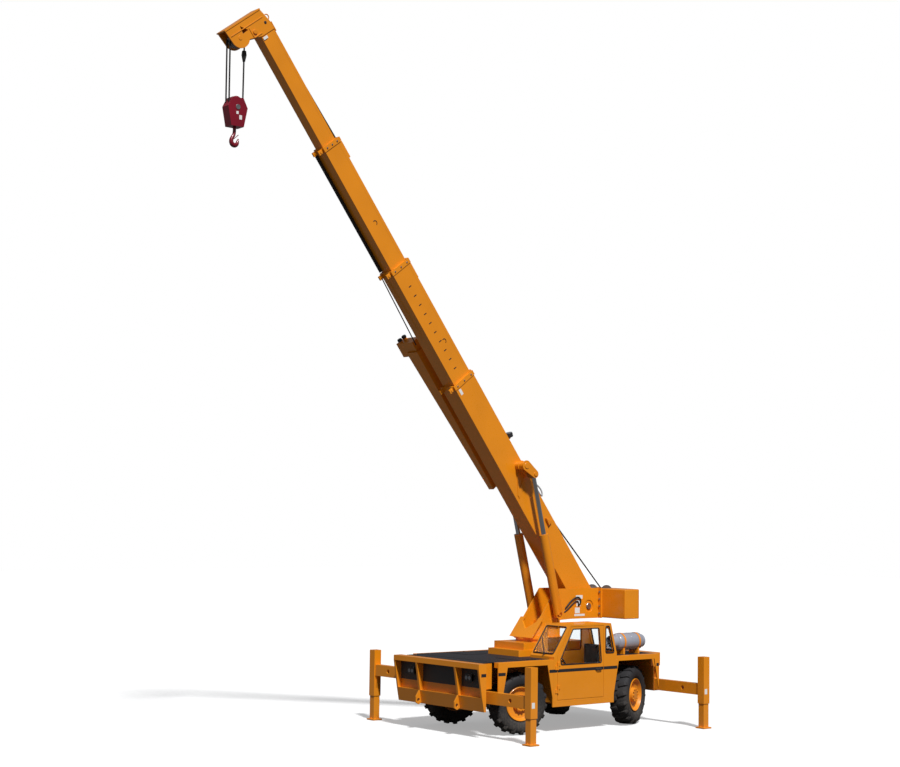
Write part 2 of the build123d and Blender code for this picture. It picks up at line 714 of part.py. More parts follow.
# =====================================================================================
# AXLES, KNUCKLES AND WHEELS
# =====================================================================================
AXLE_TUBE_R = 75
YOKE_Z = 150
YOKE_H = 40
KINGPIN_R = 48
HUB_R = 120
HUB_FACE = 76
SPINDLE_R = 45
SPINDLE_END = 136
AXLES = (
    # name, x, steer angle at rest
    ("front", WHEELBASE / 2, FRONT_STEER),
    ("rear", -WHEELBASE / 2, REAR_STEER),
)
SIDES = (
    # name, hand
    ("left", 1),
    ("right", -1),
)

# Tyre: rings of a faceted carcass, then staggered lugs on each half of its tread.
LUGS = 18
LUG_STAGGER = 4.5
LUG_SLANT = 18
LUG_MID = 84
LUG_W = 62
LUG_L = 150
LUG_REACH = LUG_W / 2 * cos(radians(LUG_SLANT)) + LUG_L / 2 * sin(radians(LUG_SLANT))
LUG_TOP_R = sqrt(TYRE_R**2 - LUG_REACH**2)
CARCASS_R = TYRE_R - 30
TYRE_RINGS = (
    # distance outwards from the wheel's middle, radius to the corners
    (-150, RIM_R + 22),
    (-TYRE_W / 2, RIM_R + 110),
    (-TYRE_W / 2 + 25, CARCASS_R - 40),
    (-TYRE_W / 2 + 70, CARCASS_R),
    (TYRE_W / 2 - 70, CARCASS_R),
    (TYRE_W / 2 - 25, CARCASS_R - 40),
    (TYRE_W / 2, RIM_R + 110),
    (150, RIM_R + 22),
)

# Rim: the two hollows that leave its disc standing between them.
RIM_SIDES = 2 * LUGS
RIM_HALF_W = 170
RIM_HUB_R = 140
RIM_HUB_OUT = 160
RIM_HOLLOWS = (
    # each: distance outwards from the wheel's middle, radius to the flats
    ((RIM_HALF_W + 1, RIM_R - 18), (RIM_HALF_W - 60, RIM_R - 50), (92, 150)),
    ((-RIM_HALF_W - 1, RIM_R - 18), (60 - RIM_HALF_W, RIM_R - 50), (60, RIM_R - 50), (HUB_FACE, 150)),
)

for axle_name, axle_x, _ in AXLES:
    axle_across = Plane(
        origin=(MACHINE_X + axle_x, 0, TYRE_R), x_dir=(0, 1, 0), z_dir=(1, 0, 0)
    )
    with BuildPart() as axle:
        with BuildSketch(axle_across):
            Rectangle(2 * 720, 2 * AXLE_TUBE_R)
        extrude(amount=AXLE_TUBE_R, both=True)
        with Locations(Plane(origin=(MACHINE_X + axle_x, 0, TYRE_R)).location):
            Cylinder(165, 240, rotation=(0, 90, 0))
            Cylinder(120, 330, rotation=(0, 90, 0))
            for hand in (1, -1):
                with Locations((0, hand * 740, 0)):
                    Box(110, 50, 2 * (YOKE_Z + YOKE_H))
                for up in (1, -1):
                    with Locations((0, hand * (KINGPIN_Y - 60), up * (YOKE_Z + YOKE_H / 2))):
                        Box(110, 200, YOKE_H)
                with Locations((0, hand * RAIL_Y, AXLE_TUBE_R)):
                    Box(140, RAIL_W, 2 * (RAIL_LOW_Z - TYRE_R - AXLE_TUBE_R) + 200)
        with Locations(Plane(origin=(MACHINE_X + axle_x, 0, RAIL_LOW_Z)).location):
            with Locations((0, 0, 250)):
                Box(400, 2 * WHEEL_Y, 500, mode=Mode.SUBTRACT)
    axle.part.label = f"{axle_name}_axle"
    export_step(axle.part, f"parts/{axle_name}_axle.step")

# Wheels are drawn round their own spin axis, in the turned plane of their knuckle.
for axle_name, axle_x, steer in AXLES:
    for side_name, hand in SIDES:
        turn = radians(steer)
        kingpin = (MACHINE_X + axle_x, hand * KINGPIN_Y, TYRE_R)
        hub_frame = Plane(
            origin=kingpin,
            x_dir=(cos(turn), sin(turn), 0),
            z_dir=(0, 0, 1),
        )
        spin_plane = Plane(
            origin=kingpin,
            x_dir=(0, 0, 1),
            z_dir=(-hand * sin(turn), hand * cos(turn), 0),
        )
        wheel_out = WHEEL_Y - KINGPIN_Y
        with BuildPart(hub_frame) as knuckle:
            Cylinder(KINGPIN_R, 2 * YOKE_Z - 2 * RUNNING_GAP)
            with BuildSketch(spin_plane):
                Circle(HUB_R - 20)
            extrude(amount=wheel_out + HUB_FACE - MOVING_GAP)
            with BuildSketch(spin_plane):
                Circle(SPINDLE_R)
            extrude(amount=wheel_out + SPINDLE_END)
        knuckle.part.label = f"{axle_name}_{side_name}_knuckle"
        export_step(knuckle.part, f"parts/{axle_name}_{side_name}_knuckle.step")

        # Rim: a flat-sided barrel, hollowed from both ends up to its coned disc, with a
        # round hub in the middle.
        with BuildPart() as rim:
            with BuildSketch(spin_plane.offset(wheel_out - RIM_HALF_W)):
                RegularPolygon(RIM_R, RIM_SIDES, major_radius=False)
            extrude(amount=2 * RIM_HALF_W)
            for hollow in RIM_HOLLOWS:
                for hollow_out, hollow_r in hollow:
                    with BuildSketch(spin_plane.offset(wheel_out + hollow_out)):
                        RegularPolygon(hollow_r, RIM_SIDES, major_radius=False)
                loft(ruled=True, mode=Mode.SUBTRACT)
            with BuildSketch(spin_plane.offset(wheel_out + HUB_FACE)):
                Circle(RIM_HUB_R)
            extrude(amount=RIM_HUB_OUT - HUB_FACE)
            with BuildSketch(spin_plane.offset(wheel_out)):
                Circle(SPINDLE_R + PIN_GAP)
            extrude(amount=SPINDLE_END + MOVING_GAP, mode=Mode.SUBTRACT)
        rim.part.label = f"{axle_name}_{side_name}_rim"
        export_step(rim.part, f"parts/{axle_name}_{side_name}_rim.step")

        with BuildPart() as tyre:
            for ring_out, ring_r in TYRE_RINGS:
                with BuildSketch(spin_plane.offset(wheel_out + ring_out)):
                    RegularPolygon(ring_r, LUGS)
            loft(ruled=True)
            with BuildSketch(spin_plane.offset(wheel_out - TYRE_W)):
                RegularPolygon(RIM_R + RUNNING_GAP, 2 * LUGS, major_radius=False)
            extrude(amount=2 * TYRE_W, mode=Mode.SUBTRACT)
            for half in (1, -1):
                with Locations(spin_plane.offset(wheel_out).location):
                    with PolarLocations(CARCASS_R - 25, LUGS, start_angle=180 / LUGS + half * LUG_STAGGER):
                        with Locations(Location((0, 0, half * LUG_MID), (half * LUG_SLANT, 0, 0))):
                            Box(
                                LUG_TOP_R - CARCASS_R + 25,
                                LUG_W,
                                LUG_L,
                                align=(Align.MIN, Align.CENTER, Align.CENTER),
                            )
        tyre.part.label = f"{axle_name}_{side_name}_tyre"
        export_step(tyre.part, f"parts/{axle_name}_{side_name}_tyre.step")

# =====================================================================================
# OUTRIGGERS: beam with its upright sleeve, and the jack leg with its foot
# =====================================================================================
SLEEVE_WALL = 7
LEG_W = POST_W - 2 * SLEEVE_WALL - 2 * MOVING_GAP
BEAM_INNER_Y = 760
BEAM_HOLE_Y = FOOT_Y - 490
BEAM_HOLE_R = 40
GUSSET_W = 50
GUSSET_H = 260
FOOT_T = 28
CORNERS = (
    # name, post x, hand, beam height
    ("front_left", OUTRIGGER_FRONT_X, 1, LEFT_BEAM_Z),
    ("front_right", OUTRIGGER_FRONT_X, -1, RIGHT_BEAM_Z),
    ("rear_left", OUTRIGGER_REAR_X, 1, LEFT_BEAM_Z),
    ("rear_right", OUTRIGGER_REAR_X, -1, RIGHT_BEAM_Z),
)

for corner, post_x, hand, beam_z in CORNERS:
    with BuildPart(machine) as outrigger_beam:
        beam_end_y = FOOT_Y - POST_W / 2 + 4
        with Locations((post_x, hand * (BEAM_INNER_Y + beam_end_y) / 2, beam_z)):
            Box(BEAM_W, beam_end_y - BEAM_INNER_Y, BEAM_H)
        with Locations(Location((post_x, hand * BEAM_HOLE_Y, beam_z), (0, 90, 0))):
            Cylinder(BEAM_HOLE_R, 2 * BEAM_W, mode=Mode.SUBTRACT)
        # Gusset under the upper beam, against the sleeve.
        if beam_z == RIGHT_BEAM_Z:
            with BuildSketch(across.offset(post_x)):
                with BuildLine():
                    Polyline(
                        (hand * beam_end_y, beam_z - BEAM_H / 2 + 1),
                        (hand * (beam_end_y - GUSSET_W), beam_z - BEAM_H / 2 + 1),
                        (hand * beam_end_y, beam_z - BEAM_H / 2 - GUSSET_H),
                        close=True,
                    )
                make_face()
            extrude(amount=BEAM_W / 3, both=True)
        with Locations((post_x, hand * FOOT_Y, (POST_TOP_Z + POST_BOTTOM_Z) / 2)):
            Box(POST_W, POST_W, POST_TOP_Z - POST_BOTTOM_Z)
        with Locations((post_x, hand * FOOT_Y, (POST_TOP_Z + POST_BOTTOM_Z) / 2 - SLEEVE_WALL)):
            Box(
                LEG_W + 2 * MOVING_GAP,
                LEG_W + 2 * MOVING_GAP,
                POST_TOP_Z - POST_BOTTOM_Z,
                mode=Mode.SUBTRACT,
            )
        # Wear pads lining the sleeve's mouth round the leg.
        for pad_side in (1, -1):
            pad_off = pad_side * (LEG_W / 2 + RUNNING_GAP + PAD_T / 2)
            with Locations((post_x + pad_off, hand * FOOT_Y, POST_BOTTOM_Z)):
                Box(PAD_T, LEG_W, PAD_L, align=(Align.CENTER, Align.CENTER, Align.MIN))
            with Locations((post_x, hand * FOOT_Y + pad_off, POST_BOTTOM_Z)):
                Box(LEG_W, PAD_T, PAD_L, align=(Align.CENTER, Align.CENTER, Align.MIN))
    outrigger_beam.part.label = f"{corner}_beam"
    export_step(outrigger_beam.part, f"parts/{corner}_beam.step")

    with BuildPart(machine) as jack:
        with Locations((post_x, hand * FOOT_Y, 0)):
            Box(FOOT_W, FOOT_W, FOOT_T, align=(Align.CENTER, Align.CENTER, Align.MIN))
            Box(LEG_W, LEG_W, 860, align=(Align.CENTER, Align.CENTER, Align.MIN))
    jack.part.label = f"{corner}_jack"
    export_step(jack.part, f"parts/{corner}_jack.step")

# =====================================================================================
# TURRET
# =====================================================================================
CHEEK_Y = 235
CHEEK_T = 28
TURRET_TOP_Z = 2600
TURRET_LOW_Z = SLEW_RING_TOP_Z + RUNNING_GAP
TURRET_FLOOR_T = 32
TAIL_LOW_Z = 2010
LOWER_HALF_X = 350
CHEEK_KNEE_Z = 1995
TAIL_X = -1370
TAIL_PLATE = 30
FRONT_LOW_X = 500
FRONT_KNEE_X = 158
FRONT_KNEE_Z = 2116
FRONT_TOP_X = -200
FRONT_PLATE = 28
FRONT_PLATE_HALF_W = 320
FRONT_PLATE_TOP_Z = 2050
NOTCH_HALF_W = 200
NOTCH_TOP_Z = 1975
NOTCH_LOW_Z = 1840
PIVOT_PIN_R = 55
PIVOT_RECESS_R = 120
FOOT_PIN_X = -150
FOOT_PIN_Z = 2120
FOOT_PIN_R = 38
LIFT_Y = 365
BARREL_R = 88
EAR_R = 85
pivot_x, pivot_z = boom_point(PIVOT_ALONG, PIVOT_UP)


def front_x(z):
    """X of the cheeks' lower front edge at height z."""
    run = (z - TURRET_LOW_Z - TURRET_FLOOR_T) / (FRONT_KNEE_Z - TURRET_LOW_Z - TURRET_FLOOR_T)
    return FRONT_LOW_X + run * (FRONT_KNEE_X - FRONT_LOW_X)


with BuildPart() as turret:
    for hand in (1, -1):
        with BuildSketch(side.offset(-hand * CHEEK_Y)) as cheek:
            with BuildLine():
                Polyline(
                    (SLEW_X - LOWER_HALF_X, TURRET_LOW_Z),
                    (SLEW_X - LOWER_HALF_X, CHEEK_KNEE_Z),
                    (-620, TAIL_LOW_Z),
                    (TAIL_X, TAIL_LOW_Z),
                    (TAIL_X, TURRET_TOP_Z),
                    (FRONT_TOP_X, TURRET_TOP_Z),
                    (FRONT_KNEE_X, FRONT_KNEE_Z),
                    (FRONT_LOW_X, TURRET_LOW_Z + TURRET_FLOOR_T),
                    (SLEW_X + LOWER_HALF_X, TURRET_LOW_Z),
                    close=True,
                )
            make_face()
            with Locations((pivot_x, pivot_z)):
                Circle(PIVOT_PIN_R, mode=Mode.SUBTRACT)
        extrude(amount=CHEEK_T / 2, both=True)
        # Round recess in the outer face, where the boom's pivot pin ends.
        with BuildSketch(side.offset(-hand * CHEEK_Y)):
            with Locations((pivot_x, pivot_z)):
                Circle(PIVOT_RECESS_R)
        extrude(amount=-hand * CHEEK_T, mode=Mode.SUBTRACT)
        # Stub outside each cheek that carries the lift cylinder's foot.
        with BuildSketch(side.offset(-hand * (CHEEK_Y + CHEEK_T / 2))):
            with Locations((FOOT_PIN_X, FOOT_PIN_Z)):
                Circle(FOOT_PIN_R)
        extrude(amount=-hand * (LIFT_Y + 55 - CHEEK_Y - CHEEK_T / 2))
    # Sloping front plate between and beside the cheeks, with a V notch in its top edge.
    with BuildSketch(side):
        with BuildLine():
            Polyline(
                (FRONT_LOW_X, TURRET_LOW_Z + TURRET_FLOOR_T),
                (FRONT_LOW_X - FRONT_PLATE, TURRET_LOW_Z + TURRET_FLOOR_T),
                (front_x(FRONT_PLATE_TOP_Z) - FRONT_PLATE, FRONT_PLATE_TOP_Z),
                (front_x(FRONT_PLATE_TOP_Z), FRONT_PLATE_TOP_Z),
                close=True,
            )
        make_face()
    extrude(amount=FRONT_PLATE_HALF_W, both=True)
    with BuildSketch(across.offset(FRONT_KNEE_X)):
        with BuildLine():
            Polyline(
                (-NOTCH_HALF_W, TURRET_TOP_Z),
                (-NOTCH_HALF_W, NOTCH_TOP_Z),
                (0, NOTCH_LOW_Z),
                (NOTCH_HALF_W, NOTCH_TOP_Z),
                (NOTCH_HALF_W, TURRET_TOP_Z),
                close=True,
            )
        make_face()
    extrude(amount=FRONT_LOW_X - FRONT_KNEE_X, mode=Mode.SUBTRACT)
    with Locations(machine.location):
        with Locations((SLEW_X, 0, TURRET_LOW_Z)):
            Cylinder(460, TURRET_FLOOR_T, align=(Align.CENTER, Align.CENTER, Align.MIN))
        # Cross plate between the cheeks, and the flanges that hold the counterweight.
        with Locations((-60, 0, TURRET_LOW_Z)):
            Box(30, 2 * CHEEK_Y, 330, align=(Align.CENTER, Align.CENTER, Align.MIN))
        for hand in (1, -1):
            with Locations((TAIL_X, hand * (CHEEK_Y - CHEEK_T / 2), TAIL_LOW_Z)):
                Box(
                    TAIL_PLATE,
                    110,
                    TURRET_TOP_Z - TAIL_LOW_Z,
                    align=(Align.MIN, Align.MIN if hand > 0 else Align.MAX, Align.MIN),
                )
turret.part.label = "turret"
export_step(turret.part, "parts/turret.step")

COUNTERWEIGHT_HALF_W = 960
COUNTERWEIGHT_REAR_X = -1850
WINCH_SLOT_HALF_W = 260
WINCH_SLOT_DEPTH = 350
COUNTERWEIGHT_BEVEL = 90
with BuildPart(machine) as counterweight:
    with Locations(((TAIL_X + COUNTERWEIGHT_REAR_X) / 2, 0, (TAIL_LOW_Z + TURRET_TOP_Z) / 2)):
        Box(TAIL_X - COUNTERWEIGHT_REAR_X, 2 * COUNTERWEIGHT_HALF_W, TURRET_TOP_Z - TAIL_LOW_Z - 20)
    chamfer(counterweight.edges().filter_by(Axis.Z).sort_by(Axis.X)[:2], length=COUNTERWEIGHT_BEVEL)
    # Slot for the winch, open to the front for the raised boom's tail.
    with Locations((TAIL_X + 1, 0, TURRET_TOP_Z)):
        Box(
            TAIL_X - COUNTERWEIGHT_REAR_X - 40,
            2 * WINCH_SLOT_HALF_W,
            2 * WINCH_SLOT_DEPTH,
            align=(Align.MAX, Align.CENTER, Align.CENTER),
            mode=Mode.SUBTRACT,
        )
counterweight.part.label = "counterweight"
export_step(counterweight.part, "parts/counterweight.step")

WINCH_X = -1610
WINCH_Z = 2470
with BuildPart(machine) as winch:
    with Locations(Location((WINCH_X, 0, WINCH_Z), (90, 0, 0))):
        Cylinder(120, 420)
        for flange_y in (-205, 205):
            with Locations((0, 0, flange_y)):
                Cylinder(180, 20)
        Cylinder(30, 2 * WINCH_SLOT_HALF_W)
    for hand in (1, -1):
        with Locations((WINCH_X, hand * (WINCH_SLOT_HALF_W - 15), WINCH_Z)):
            Box(160, 30, 160)
winch.part.label = "winch"
export_step(winch.part, "parts/winch.step")

# =====================================================================================
# BOOM
# =====================================================================================
EYE_HALF_W = 50
COLLAR_DEPTH = 90
COLLAR_LIP = 26
PAD_DEPTH = 100
PAD_INSET = 60
REAR_CUT = 170
REAR_LOW_CUT = 80
BOSS_ALONG = 3180
BOSS_UP = 285
BOSS_R = 100
LUG_T = 20
LUG_NOSE_R = 75
BOSS_OUT_Y = LIFT_Y + 80
LUG_OFF = 70
LUGS_Y = (LIFT_Y - LUG_OFF, LIFT_Y + LUG_OFF)
PIN_END = 16
STRIP_T = 12
STRIP_W = 70
STRIP_TIP = (2660, -60)
LIFT_PIN_R = 38
HEAD_HALF_W = 122
HEAD_CHEEK_T = 12
HEAD_PLATE_T = 25
HEAD_PLATE_TOP = 200
next_sections = SECTIONS[1:] + (None,)

for (section_name, width, low, high, rear, front), inner in zip(SECTIONS, next_sections):
    height = high - low
    middle = (high + low) / 2
    with BuildPart(boom_frame) as section:
        with Locations(((rear + front) / 2, 0, middle)):
            Box(front - rear, width, height)
            Box(front - rear + 2, width - 2 * BOOM_WALL, height - 2 * BOOM_WALL, mode=Mode.SUBTRACT)
        if inner:
            _, inner_width, inner_low, inner_high, _, _ = inner
            with Locations((front - COLLAR_DEPTH / 2, 0, middle)):
                Box(COLLAR_DEPTH, width + COLLAR_LIP, height + COLLAR_LIP)
                Box(2 * COLLAR_DEPTH, width - 2 * BOOM_WALL, height - 2 * BOOM_WALL, mode=Mode.SUBTRACT)
            # Wear pads between the collar and the next section: sides, then top and bottom.
            side_pad = (width - inner_width) / 2 - BOOM_WALL - RUNNING_GAP
            top_pad = high - BOOM_WALL - inner_high - RUNNING_GAP
            low_pad = inner_low - low - BOOM_WALL - RUNNING_GAP
            for pad_side in (1, -1):
                pad_y = pad_side * (width / 2 - BOOM_WALL)
                with Locations((front, pad_y, middle)):
                    Box(
                        PAD_DEPTH,
                        side_pad,
                        height - 3 * PAD_INSET,
                        align=(Align.MAX, Align.MAX if pad_side > 0 else Align.MIN, Align.CENTER),
                    )
            with Locations((front, 0, high - BOOM_WALL)):
                Box(PAD_DEPTH, width - 2 * PAD_INSET, top_pad, align=(Align.MAX, Align.CENTER, Align.MAX))
            with Locations((front, 0, low + BOOM_WALL)):
                Box(PAD_DEPTH, width - 2 * PAD_INSET, low_pad, align=(Align.MAX, Align.CENTER, Align.MIN))
            # Rope guide on the collar's top and two roller brackets under it.
            with Locations((front - 60, 0, high + 45)):
                Box(70, 120, 90)
            for hand in (1, -1):
                with Locations((front - 50, hand * (width / 2 - 50), low - 60)):
                    Box(80, 30, 110)
                    Cylinder(26, 50, rotation=(90, 0, 0))
        if section_name == "boom_base":
            # The rear end's corners are cut back, to clear the tail and the cab's roof.
            with BuildSketch(boom_side):
                with BuildLine():
                    Polyline(
                        (rear - 1, high + 1),
                        (rear - 1, high - REAR_CUT),
                        (rear + REAR_CUT, high + 1),
                        close=True,
                    )
                make_face()
                with BuildLine():
                    Polyline(
                        (rear - 1, low - 1),
                        (rear - 1, low + REAR_LOW_CUT),
                        (rear + REAR_LOW_CUT, low - 1),
                        close=True,
                    )
                make_face()
            extrude(amount=width, both=True, mode=Mode.SUBTRACT)
            # Pivot tube through the rear end.
            with Locations((PIVOT_ALONG, 0, PIVOT_UP)):
                Cylinder(PIVOT_PIN_R - PIN_GAP, 2 * CHEEK_Y - 4, rotation=(90, 0, 0))
            # Boss on each side, and two lugs that reach back from it to the rod's pin.
            for hand in (1, -1):
                with Locations((BOSS_ALONG, hand * (width / 2 + BOSS_OUT_Y) / 2, BOSS_UP)):
                    Cylinder(BOSS_R - 15, BOSS_OUT_Y - width / 2, rotation=(90, 0, 0))
                for lug_y in LUGS_Y:
                    with BuildSketch(boom_side.offset(-hand * lug_y)):
                        with Locations((BOSS_ALONG, BOSS_UP)):
                            Circle(BOSS_R)
                        with Locations((PIN_ALONG, PIN_UP)):
                            Circle(LUG_NOSE_R)
                        make_hull()
                    extrude(amount=LUG_T / 2, both=True)
                # The rod's pin ends in a cap on the far face of each lug.
                for cap_off in (-1, 1):
                    cap_y = LIFT_Y + cap_off * (LUG_OFF + (LUG_T + PIN_END) / 2)
                    with Locations((PIN_ALONG, hand * cap_y, PIN_UP)):
                        Cylinder(LIFT_PIN_R, PIN_END, rotation=(90, 0, 0))
                # V of two gusset strips on the side plate, from the boss down to one tip.
                with BuildSketch(boom_side.offset(-hand * (width / 2 + STRIP_T / 2 - 1))):
                    for strip_top in ((PIN_ALONG - 40, high - 90), (BOSS_ALONG, BOSS_UP)):
                        with BuildLine():
                            Polyline(
                                strip_top,
                                (strip_top[0] + STRIP_W, strip_top[1]),
                                (STRIP_TIP[0] + STRIP_W, STRIP_TIP[1]),
                                STRIP_TIP,
                                close=True,
                            )
                        make_face()
                extrude(amount=STRIP_T / 2, both=True)
        if section_name == "boom_4":
            # Head: two cheeks hanging under the boom's end, rounded behind the sheaves,
            # with a window each, and a plate square to the boom over their front edges.
            for hand in (1, -1):
                with BuildSketch(boom_side.offset(-hand * (HEAD_HALF_W - HEAD_CHEEK_T))) as head_cheek:
                    with BuildLine():
                        Polyline(
                            (front - 130, low + 20),
                            (front - 130, high - 4),
                            (front, high - 4),
                            (HEAD_NOSE_ALONG - HEAD_PLATE_T, HEAD_PLATE_TOP),
                            (HEAD_NOSE_ALONG - HEAD_PLATE_T, HEAD_NOSE_DROP + 12),
                            (HEAD_SHEAVE_ALONG - 30, HEAD_NOSE_DROP + 40),
                        )
                        ThreePointArc(
                            (HEAD_SHEAVE_ALONG - 30, HEAD_NOSE_DROP + 40),
                            (HEAD_SHEAVE_ALONG - 170, HEAD_SHEAVE_DROP - 40),
                            (HEAD_SHEAVE_ALONG - 105, HEAD_SHEAVE_DROP + 165),
                        )
                        Line(
                            (HEAD_SHEAVE_ALONG - 105, HEAD_SHEAVE_DROP + 165),
                            (front - 130, low + 20),
                        )
                    make_face()
                    with BuildLine():
                        Polyline(
                            (HEAD_SHEAVE_ALONG + 170, HEAD_SHEAVE_DROP + 110),
                            (HEAD_SHEAVE_ALONG + 40, HEAD_SHEAVE_DROP + 230),
                            (HEAD_SHEAVE_ALONG + 30, HEAD_SHEAVE_DROP + 90),
                            close=True,
                        )
                    make_face(mode=Mode.SUBTRACT)
                extrude(amount=HEAD_CHEEK_T, both=True)
            with Locations((HEAD_SHEAVE_ALONG, 0, HEAD_SHEAVE_DROP)):
                Cylinder(HEAD_PIN_R, 2 * HEAD_HALF_W + 16, rotation=(90, 0, 0))
            with Locations((HEAD_NOSE_ALONG, 0, HEAD_NOSE_DROP)):
                Box(
                    HEAD_PLATE_T,
                    2 * HEAD_HALF_W + 20,
                    HEAD_PLATE_TOP - HEAD_NOSE_DROP,
                    align=(Align.MAX, Align.CENTER, Align.MIN),
                )
            with Locations((front - 90, 0, high + 8)):
                Box(180, 2 * HEAD_HALF_W, 16)
    section.part.label = section_name
    export_step(section.part, f"parts/{section_name}.step")

with BuildPart(boom_frame) as head_sheaves:
    for sheave_y in (-50, 0, 50):
        with Locations((HEAD_SHEAVE_ALONG, sheave_y, HEAD_SHEAVE_DROP)):
            Cylinder(HEAD_SHEAVE_R, 36, rotation=(90, 0, 0))
            Cylinder(HEAD_PIN_R, 60, rotation=(90, 0, 0), mode=Mode.SUBTRACT)
head_sheaves.part.label = "head_sheaves"
export_step(head_sheaves.part, "parts/head_sheaves.step")

# Stowed jib beside the boom: a box that grows taller and wider towards its front block.
JIB_INNER_Y = -330
JIB_LOW = -120
JIB_ENDS = (
    # along, outer side y, top
    (2920, -463, 80),
    (6100, -640, 200),
)
JIB_SHEET = 8
JIB_BRACKETS = (3700, 5100)
JIB_BLOCK_ALONG = (6000, 6300)
JIB_BLOCK_OUT_Y = -850
with BuildPart() as stowed_jib:
    for shrink, jib_mode in ((0, Mode.ADD), (JIB_SHEET, Mode.SUBTRACT)):
        for jib_along, jib_outer_y, jib_top in JIB_ENDS:
            end_plane = Plane(
                origin=boom_frame.from_local_coords((jib_along, 0, 0)),
                x_dir=(0, 1, 0),
                z_dir=boom_frame.x_dir,
            )
            # The end plane's own y runs down or up the boom's depth.
            up = 1 if end_plane.y_dir.dot(boom_frame.z_dir) > 0 else -1
            jib_w = JIB_INNER_Y - jib_outer_y - 2 * shrink
            jib_h = jib_top - JIB_LOW - 2 * shrink
            with BuildSketch(end_plane):
                with Locations(((JIB_INNER_Y + jib_outer_y) / 2, up * (JIB_LOW + jib_top) / 2)):
                    Rectangle(jib_w, jib_h)
        loft(mode=jib_mode)
    with Locations(boom_frame.location):
        for bracket_along in JIB_BRACKETS:
            with Locations((bracket_along, (JIB_INNER_Y - SECTIONS[0][1] / 2) / 2, 0)):
                Box(60, -JIB_INNER_Y - SECTIONS[0][1] / 2, 60)
        # Block at the jib's foot, which sticks out sideways, with two pin knobs.
        with Locations((JIB_BLOCK_ALONG[0], JIB_INNER_Y - 40, 20)):
            Box(
                JIB_BLOCK_ALONG[1] - JIB_BLOCK_ALONG[0],
                JIB_INNER_Y - 40 - JIB_BLOCK_OUT_Y,
                200,
                align=(Align.MIN, Align.MAX, Align.CENTER),
            )
        for knob_up in (-40, 80):
            with Locations((JIB_BLOCK_ALONG[1], JIB_BLOCK_OUT_Y + 110, knob_up)):
                Cylinder(38, 80, rotation=(0, 90, 0))
stowed_jib.part.label = "stowed_jib"
export_step(stowed_jib.part, "parts/stowed_jib.step")

# ---- Lift cylinders: two barrels and two rods, one pair on each side of the boom ------
pin_x, pin_z = boom_point(PIN_ALONG, PIN_UP)
lift_angle = atan2(pin_z - FOOT_PIN_Z, pin_x - FOOT_PIN_X)
lift_length = hypot(pin_z - FOOT_PIN_Z, pin_x - FOOT_PIN_X)
BARREL_LENGTH = 1580
ROD_R = 45
ROD_INSIDE = 640
BORE_END = 130
lift_frame = Plane(
    origin=(MACHINE_X + FOOT_PIN_X, 0, FOOT_PIN_Z),
    x_dir=(cos(lift_angle), 0, sin(lift_angle)),
    z_dir=(-sin(lift_angle), 0, cos(lift_angle)),
)

with BuildPart(lift_frame) as lift_barrels:
    for hand in (1, -1):
        with Locations(Location((BARREL_LENGTH / 2, hand * LIFT_Y, 0), (0, 90, 0))):
            Cylinder(BARREL_R, BARREL_LENGTH)
        with Locations((0, hand * LIFT_Y, 0)):
            Cylinder(EAR_R, 80, rotation=(90, 0, 0))
        with Locations(Location((BARREL_LENGTH, hand * LIFT_Y, 0), (0, 90, 0))):
            Cylinder(ROD_R + PIN_GAP, 2 * (BARREL_LENGTH - BORE_END), mode=Mode.SUBTRACT)
        with Locations((0, hand * LIFT_Y, 0)):
            Cylinder(FOOT_PIN_R + PIN_GAP, 200, rotation=(90, 0, 0), mode=Mode.SUBTRACT)
lift_barrels.part.label = "lift_barrels"
export_step(lift_barrels.part, "parts/lift_barrels.step")

with BuildPart(lift_frame) as lift_rods:
    for hand in (1, -1):
        rod_start = BARREL_LENGTH - ROD_INSIDE
        with Locations(Location(((rod_start + lift_length) / 2, hand * LIFT_Y, 0), (0, 90, 0))):
            Cylinder(ROD_R, lift_length - rod_start)
        with Locations((lift_length, hand * LIFT_Y, 0)):
            Cylinder(EAR_R, 2 * EYE_HALF_W, rotation=(90, 0, 0))
            Cylinder(LIFT_PIN_R, 2 * (LUG_OFF - LUG_T / 2 - RUNNING_GAP), rotation=(90, 0, 0))
lift_rods.part.label = "lift_rods"
export_step(lift_rods.part, "parts/lift_rods.step")

# ---- Hook block, its falls and the hook -------------------------------------------------
head_x, head_z = boom_point(HEAD_SHEAVE_ALONG, HEAD_SHEAVE_DROP)
FALL_LENGTH = 1031
BLOCK_TOP_Z = head_z - FALL_LENGTH
BLOCK_H = 500
BLOCK_SHOULDER = 165
BLOCK_TOP_HALF = 110
BLOCK_HALF = 195
BLOCK_LOW_HALF = 125
BLOCK_HALF_T = 100
BLOCK_LOW_Z = BLOCK_TOP_Z - BLOCK_H
ROPE_R = 9
FALL_X = HEAD_SHEAVE_R + ROPE_R + PIN_GAP
SHANK_R = 30
SHANK_IN = 90
SHANK_OUT = 190
SWIVEL_R = 58
SWIVEL_H = 70
HOOK_R = 45
HOOK_THICK = 42
head_frame = Plane(origin=(MACHINE_X + head_x, 0, 0))
head_side = Plane(origin=(MACHINE_X + head_x, 0, 0), x_dir=(1, 0, 0), z_dir=(0, -1, 0))

